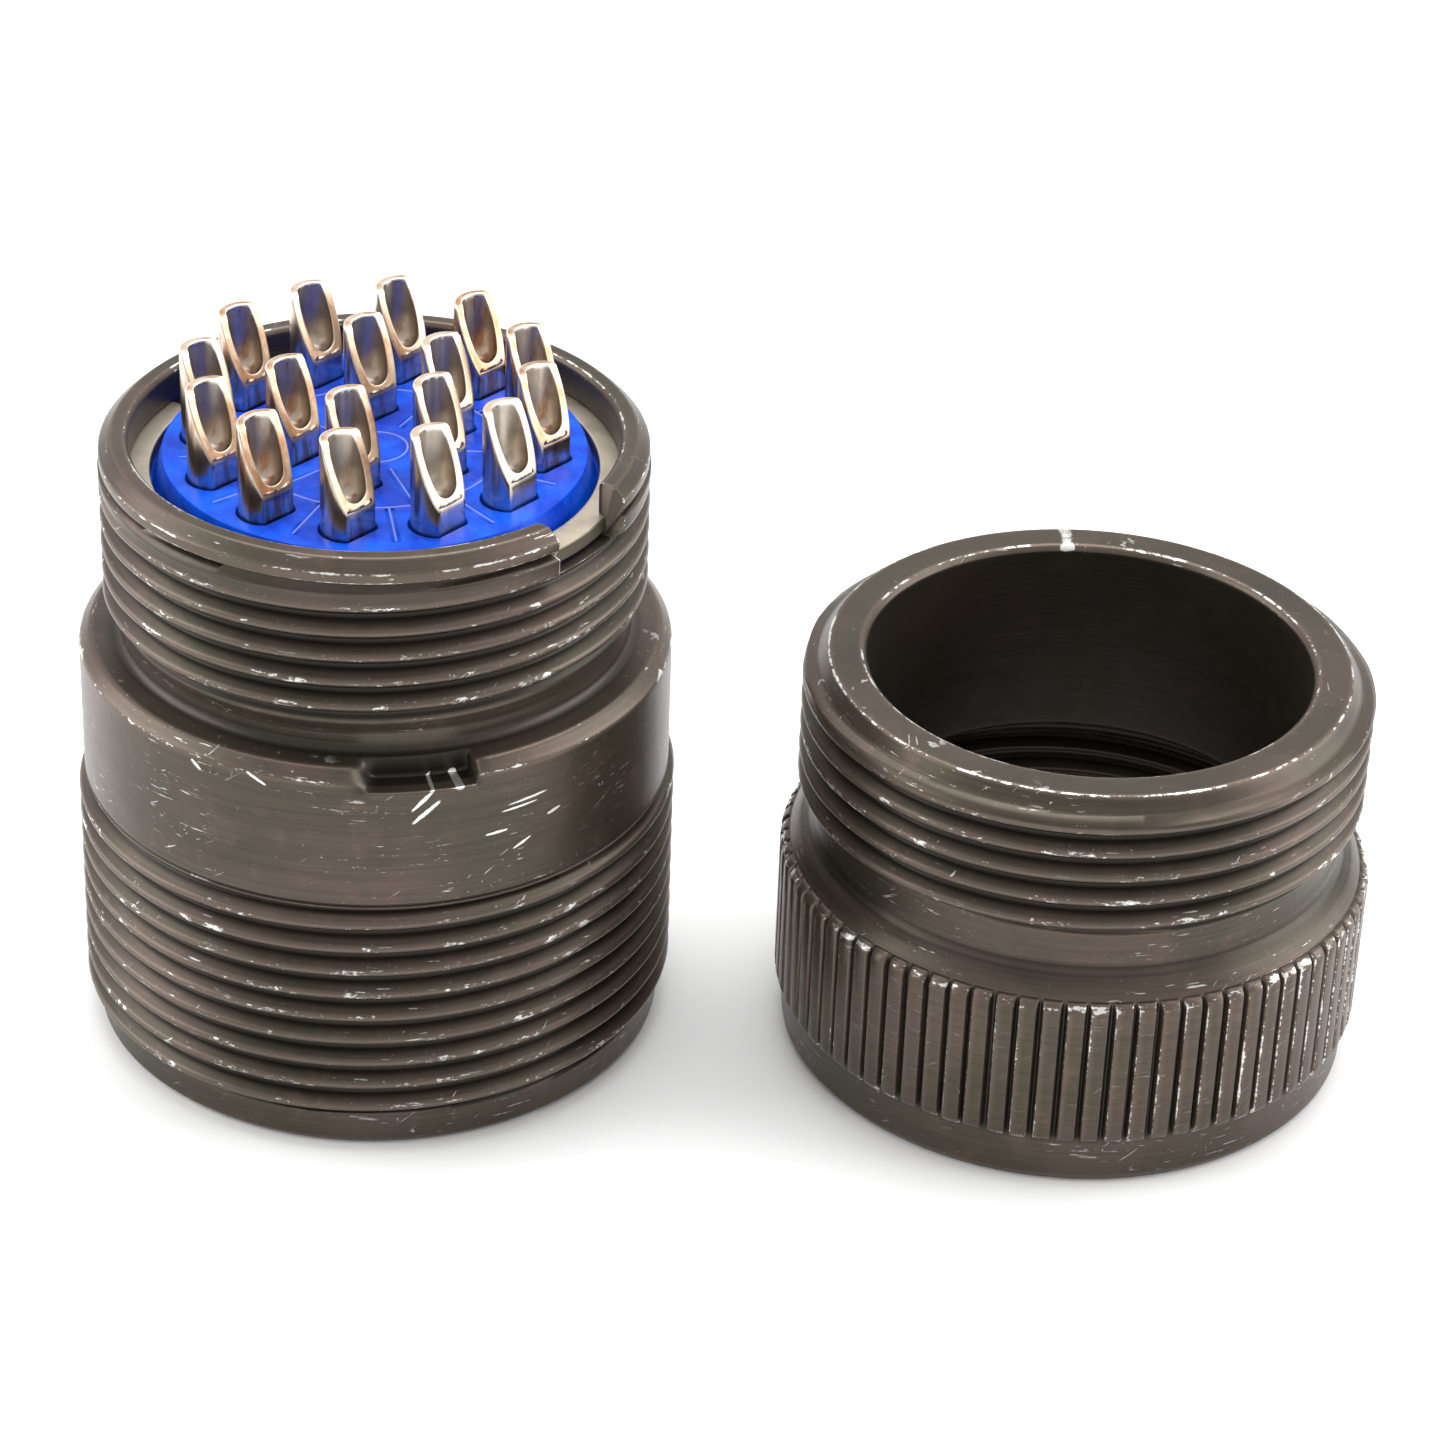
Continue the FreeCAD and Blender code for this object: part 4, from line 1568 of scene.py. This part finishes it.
@dataclass
class RetainingRing:
    """The flat split ring that holds the inserts in the shell."""

    gap: float = 2.6
    gap_azimuth: float = 146.0
    columns: int = 200
    bevel: float = 0.08
    inner_r: float = 11.5

    def build(self, finish: bpy.types.Material) -> bpy.types.Object:
        """Make the ring and put it in the scene.

        Args:
            finish: Its steel.

        Returns:
            The object.
        """
        low, high = node_box("insert_retaining_ring")
        outer = max(high.x, -low.y)
        half = self.gap / 2 / self.inner_r
        start = math.radians(self.gap_azimuth)
        angles = np.linspace(start + half, start + TURN - half, self.columns)
        corners = [(self.inner_r, low.z), (outer, low.z), (outer, high.z), (self.inner_r, high.z)]
        section = rounded(corners[-1:] + corners + corners[:1], self.bevel)[1:-1]
        points, rings = [], []
        for number, angle in enumerate(angles):
            points.append([(r * math.cos(angle), r * math.sin(angle), z) for r, z, _ in section])
            rings.append(np.arange(len(section)) + number * len(section))
        faces = strip(rings[::-1], True) + [list(map(int, rings[0])), list(map(int, rings[-1][::-1]))]
        marks = {
            Mark.EDGE: np.tile([edge for _, _, edge in section], len(angles)),
            # tone marks the outer face, which sits in the groove, for painted shade
            Mark.TONE: np.tile([float(r > outer - 0.04) for r, _, _ in section], len(angles)),
        }
        mesh = joined_mesh("retaining_ring_spring", np.array(points).reshape(-1, 3) * MM, faces, marks)
        return add_piece(mesh, Body.CONNECTOR, finish, ("insert_retaining_ring",))


# ---------------------------------------------------------------- backshell


@dataclass
class Backshell:
    """The loose backshell: threaded socket, smooth foot, knurled grip, neck and accessory thread."""

    seed: int = 23
    pitch: float = THREAD_PITCH
    turns: int = 5
    foot_height: float = 2.6
    foot_r: float = 14.95
    foot_bevel: float = 0.4
    knurl_depth: float = 0.42
    knurl_teeth: int = 80
    knurl_height: float = 8.8
    shoulder_rise: float = 1.3
    neck_step: float = 1.05
    neck_height: float = 2.2
    entry_r: float = 11.7
    socket_r: float = 14.27
    socket_mouth: float = 0.44
    socket_turns: int = 6
    seat_z: float = 11.07
    accessory_r: float = 15.0
    top_bevel: float = 0.8
    top_width: float = 2.0
    thread_bevel: float = 0.74
    mouth_bevel: float = 0.3
    runout: float = 0.6
    corner_r: float = 0.12
    columns: int = 288

    def build(self, finish: bpy.types.Material, grip_finish: bpy.types.Material) -> list[bpy.types.Object]:
        """Make the body and its knurled grip.

        Args:
            finish: Its plating.
            grip_finish: The grip's plating, less marked.

        Returns:
            The body and the grip.
        """
        low, high = node_box("backshell")
        centre = ((low.x + high.x) / 2, (low.y + high.y) / 2)
        grip_r = (high.x - low.x) / 2
        columns = even_columns(self.columns)
        skin = Skin(columns)
        skin.lay(self.parts(columns, high.z, grip_r))
        skin.knock(self.seed, self.socket_r + 0.2)
        inside = (skin.z < high.z - 0.35) & (skin.r < np.where(skin.z < self.seat_z + 0.3, 14.5, 12.6))
        body = skin.mesh("backshell_turned", inside & (skin.z > 0.2))
        made = add_piece(body, Body.BACKSHELL, finish, ("backshell",), centre)
        grip = add_piece(self.grip_mesh(grip_r), Body.BACKSHELL, grip_finish, (), centre)
        return [made, grip]

    def parts(self, columns: np.ndarray, height: float, grip_r: float) -> list[Rows]:
        """All rows, from the socket's mouth up the outside, over the top and down the bore.

        Args:
            columns: Angles round the axis.
            height: Overall height.
            grip_r: The grip's radius.

        Returns:
            The parts in order.
        """
        root = grip_r - self.knurl_depth - 0.05
        knurl_top = self.foot_height + self.knurl_height
        neck_low = knurl_top + self.shoulder_rise
        thread_low = neck_low + self.neck_height
        thread_top = thread_low + self.turns * self.pitch
        neck_r = self.accessory_r - self.neck_step
        bevel = self.top_bevel
        mouth_r, mouth_z = self.socket_r + self.mouth_bevel, self.mouth_bevel
        outer = [(mouth_r, 0), (self.foot_r, 0), (root, self.foot_bevel), (root, knurl_top)]
        for flare, rise in ((0.62, 0.62), (0.26, 0.95), (0.06, 1.32), (0.0, 1.75)):
            outer.append((neck_r + flare * self.shoulder_rise, knurl_top + rise, 0.2))
        start = thread_low - 0.45
        outer.append((neck_r, start))
        blank = [(neck_r, start), (neck_r, thread_low - 0.02), (self.accessory_r, thread_low + 0.24)]
        end_r = self.accessory_r - self.thread_bevel
        blank += [(self.accessory_r, thread_top - 0.25), (end_r, height - bevel)]
        thread = Thread(self.accessory_r, thread_low, self.turns, blank, start=0.4, fade_high=(4.4, 4.9))
        climb = thread.rows(start, height - bevel, columns)
        over = [(end_r, height - bevel), (self.entry_r + self.top_width, height, 0.88)]
        over += [(self.entry_r + 0.25, height, 0.8), (self.entry_r, height - 0.25)]
        over += [(self.entry_r, self.seat_z + 0.5)]
        over += [(self.entry_r + 0.5, self.seat_z), (self.socket_r, self.seat_z)]
        socket_top = self.socket_mouth + self.socket_turns * self.pitch
        over += [(self.socket_r, socket_top + self.runout)]
        crest = self.socket_r - thread.depth
        start = mouth_z + 0.05
        blank = [(self.socket_r, start), (crest, 1.0), (crest, socket_top)]
        blank += [(self.socket_r, socket_top + self.runout)]
        inner = Thread(crest, self.socket_mouth, self.socket_turns, blank, inward=True)
        descent = inner.rows(start, socket_top + self.runout, columns).reversed()
        mouth = turned([(self.socket_r, start), (self.socket_r, mouth_z), (mouth_r, 0)], columns, 0.05)
        outside, inside = (turned(line, columns, self.corner_r) for line in (outer, over))
        return [outside, climb, inside, descent, mouth]

    def grip_mesh(self, grip_r: float) -> bpy.types.Mesh:
        """Knurled ring: broad flat teeth with narrow grooves between them.

        Args:
            grip_r: The grip's radius over its teeth.

        Returns:
            The mesh.
        """
        rng = np.random.default_rng(self.seed + 1)
        outline = ((0.0, 1.0, -1.0), (0.06, 0.95, -1.0), (0.11, 0.45, -0.2), (0.15, 0.12, 0.92),
                   (0.20, 0.0, 0.6), (0.5, 0.0, 0.0), (0.80, 0.0, 0.2), (0.85, 0.12, 0.62),
                   (0.89, 0.45, -0.4), (0.94, 0.95, -1.0))
        angles, depths, edges = [], [], []
        for tooth in range(self.knurl_teeth):
            skew = rng.uniform(-0.03, 0.03)
            for share, depth, edge in outline:
                angles.append((tooth + share + skew) * TURN / self.knurl_teeth)
                depths.append(depth)
                edges.append(edge)
        angles, depths, edges = np.array(angles), np.array(depths), np.array(edges)
        low, high = self.foot_height, self.foot_height + self.knurl_height
        inner = grip_r - self.knurl_depth - 0.4
        core = grip_r - self.knurl_depth - 0.05
        rows = [(inner, low + 0.1, 0.0), (core, low - 0.02, 0.0)]
        stations = [(0.0, 0.0), (0.18, 0.45), (0.40, 0.85), (0.62, 1.0)]
        ends = [(low + d, share) for d, share in stations]
        middle = [(low + 0.62 + (high - low - 1.5) * t, 1.0) for t in (0.2, 0.4, 0.6, 0.8)]
        tops = [(high - 0.95, 1.0), (high - 0.62, 1.0), (high - 0.36, 0.86), (high - 0.15, 0.5)]
        tops += [(high + 0.02, 0.0)]
        points, marks = [], []
        for r, z, mark in rows:
            points.append((np.full_like(angles, r), np.full_like(angles, z)))
            marks.append(np.full_like(angles, mark))
        for z, share in ends + middle + tops:
            tip = core + (grip_r - core) * share
            wobble = 0.0 if share < 1 else 1.0
            noise = rng.uniform(-0.012, 0.012, len(angles)) * wobble
            points.append((tip - (tip - core) * depths + noise * (depths < 0.5), np.full_like(angles, z)))
            raised = np.where(edges > 0.5, edges * min(1.0, 0.4 + share), edges)
            end_mark = 0.75 if 0.3 < share < 0.95 else 0.0
            marks.append(np.maximum(raised * share, np.where(depths < 0.5, end_mark, -1.0)))
        points.append((np.full_like(angles, inner), np.full_like(angles, high - 0.1)))
        marks.append(np.zeros_like(angles))
        xyz = np.array([around(r, angles, z) for r, z in points]) * MM
        count, across = xyz.shape[:2]
        index = np.arange(count * across).reshape(count, across)
        faces = strip(list(index) + [index[0]], True)
        return joined_mesh("backshell_knurl", xyz.reshape(-1, 3), faces, {Mark.EDGE: np.concatenate(marks)})


# ---------------------------------------------------------------- carried-over nodes and studio


@dataclass
class CarriedNodes:
    """CAD nodes whose shape is right as it is, and the finish that each takes."""

    finishes: dict[str, bpy.types.Material]

    def dress(self) -> None:
        """Give each node its finish."""
        for node, finish in self.finishes.items():
            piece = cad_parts[node]
            piece.data.materials.clear()
            piece.data.materials.append(finish)
            LOG.info("%s: dressed", node)


@dataclass(frozen=True)
class Softbox:
    """One rectangular soft light; places and size are in metres, power in watts."""

    name: str
    place: Triple
    aim: Triple
    size: Pair
    power: float

    def hang(self) -> None:
        """Put the light in the scene, facing its aim."""
        light = bpy.data.lights.new(self.name, "AREA")
        light.shape = "RECTANGLE"
        light.size, light.size_y = self.size
        light.energy = self.power
        lamp = bpy.data.objects.new(self.name, light)
        lamp.location = self.place
        lamp.rotation_euler = (Vector(self.aim) - Vector(self.place)).to_track_quat("-Z", "Y").to_euler()
        bpy.context.scene.collection.objects.link(lamp)


@dataclass
class Studio:
    """White paper floor, soft light from both sides and above, and the camera."""

    eye: Triple = (18.22, -196.8, 137.7)
    pitch: float = 30.82
    roll: float = -2.23
    lens: float = 108.27
    shift_y: float = -0.0332
    floor_reach: float = 4.0
    world_light: float = 0.82
    softboxes: tuple[Softbox, ...] = (
        Softbox("left_softbox", (-0.90, 0.05, 0.45), (0.0, 0.0, 0.015), (0.8, 0.8), 7.5),
        Softbox("right_softbox", (0.95, 0.10, 0.45), (0.035, 0.0, 0.015), (0.8, 0.8), 7.5),
        Softbox("top_softbox", (0.05, 0.25, 0.85), (0.018, 0.0, 0.02), (0.9, 0.7), 8.0),
    )

    def build(self) -> None:
        """Make the floor, lights, world and camera."""
        self.floor()
        self.world()
        for softbox in self.softboxes:
            softbox.hang()
        self.camera()

    def floor(self) -> None:
        """A large flat sheet of paper under both parts."""
        reach = self.floor_reach
        corners = [(-reach, -reach, 0), (reach, -reach, 0), (reach, reach, 0), (-reach, reach, 0)]
        mesh = bpy.data.meshes.new("paper_floor")
        mesh.from_pydata(corners, [], [(0, 1, 2, 3)])
        floor = bpy.data.objects.new("paper_floor", mesh)
        bpy.context.scene.collection.objects.link(floor)
        mesh.materials.append(PaperFloor().material())

    def world(self) -> None:
        """Even white light from all round."""
        world = bpy.data.worlds.new("white_room")
        bpy.context.scene.world = world
        world.use_nodes = True
        background = world.node_tree.nodes["Background"]
        background.inputs["Color"].default_value = (1.0, 1.0, 1.0, 1.0)
        background.inputs["Strength"].default_value = self.world_light

    def camera(self) -> None:
        """The camera, looking down at the pair with a slight roll."""
        pitch, roll = math.radians(self.pitch), math.radians(self.roll)
        ahead = Vector((0, math.cos(pitch), -math.sin(pitch)))
        down = Vector((0, -math.sin(pitch), -math.cos(pitch)))
        right = Vector((1, 0, 0)) * math.cos(roll) + down * math.sin(roll)
        up = Vector((1, 0, 0)) * math.sin(roll) - down * math.cos(roll)
        axes = Matrix((right, up, -ahead)).transposed()
        data = bpy.data.cameras.new("camera")
        data.lens = self.lens
        data.shift_y = self.shift_y
        data.clip_start = 0.01
        camera = bpy.data.objects.new("camera", data)
        camera.matrix_world = Matrix.Translation(Vector(self.eye) * MM) @ axes.to_4x4()
        bpy.context.scene.collection.objects.link(camera)
        bpy.context.scene.camera = camera
        bpy.context.scene.view_settings.view_transform = "Standard"


def contact_nodes() -> list[str]:
    """Names of the contacts' CAD nodes, in order."""
    return sorted(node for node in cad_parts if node.startswith("contact_"))


def main() -> None:
    """Build every sub-assembly in order."""
    logging.basicConfig(level=logging.INFO, format="%(message)s")
    gouges = (Scratch(-76.3, 21.35, 1.9, 0.28, 45.0), Scratch(-75.9, 20.60, 2.0, 0.30, 41.0),
              Scratch(-69.4, 21.85, 0.5, 0.40, 10.0), Scratch(-55.8, 20.30, 2.4, 0.20, 5.0),
              Scratch(-57.6, 19.95, 2.2, 0.16, 4.0), Scratch(-62.3, 18.75, 1.3, 0.20, 3.0),
              Scratch(-57.0, 17.75, 1.2, 0.22, 24.0), Scratch(-50.0, 19.05, 0.9, 0.24, 14.0),
              Scratch(-107.7, 22.05, 1.3, 0.22, -28.0), Scratch(-120.5, 21.85, 0.8, 0.26, -38.0))
    shell_plating = OlivePlating("shell_plating_finish", scratches=gouges).material()
    plating = OlivePlating(scratches=(Scratch(93.0, 22.65, 0.9, 0.5, 0.0, 11.9),)).material()
    grip_plating = OlivePlating("grip_plating_finish", marks=0.25).material()
    blue = MouldedPlastic("blue_moulding_finish", (0.0, 0.098, 0.82), (0.0, 0.040, 0.47), 0.36).material()
    front = MouldedPlastic("front_moulding_finish", (0.02, 0.08, 0.42), (0.01, 0.03, 0.20), 0.5).material()
    steel = SpringSteel().material()
    plate = ContactPlate().material()

    Studio().build()
    _, high = node_box("receptacle_shell")
    ReceptacleShell(high.x, high.z).build(shell_plating)
    rear_low, rear_high = node_box("rear_insert")
    ring_low, _ = node_box("insert_retaining_ring")
    RearInsert(tuple(contact_nodes()), rear_high.z, rear_low.z, ring_low.z, rear_high.x).build(blue)
    RetainingRing().build(steel)
    for number, node in enumerate(contact_nodes()):
        Contact(node, number + 1).build(plate)
    Backshell().build(plating, grip_plating)
    CarriedNodes({"front_insert": front}).dress()


if __name__ == "__main__":
    main()
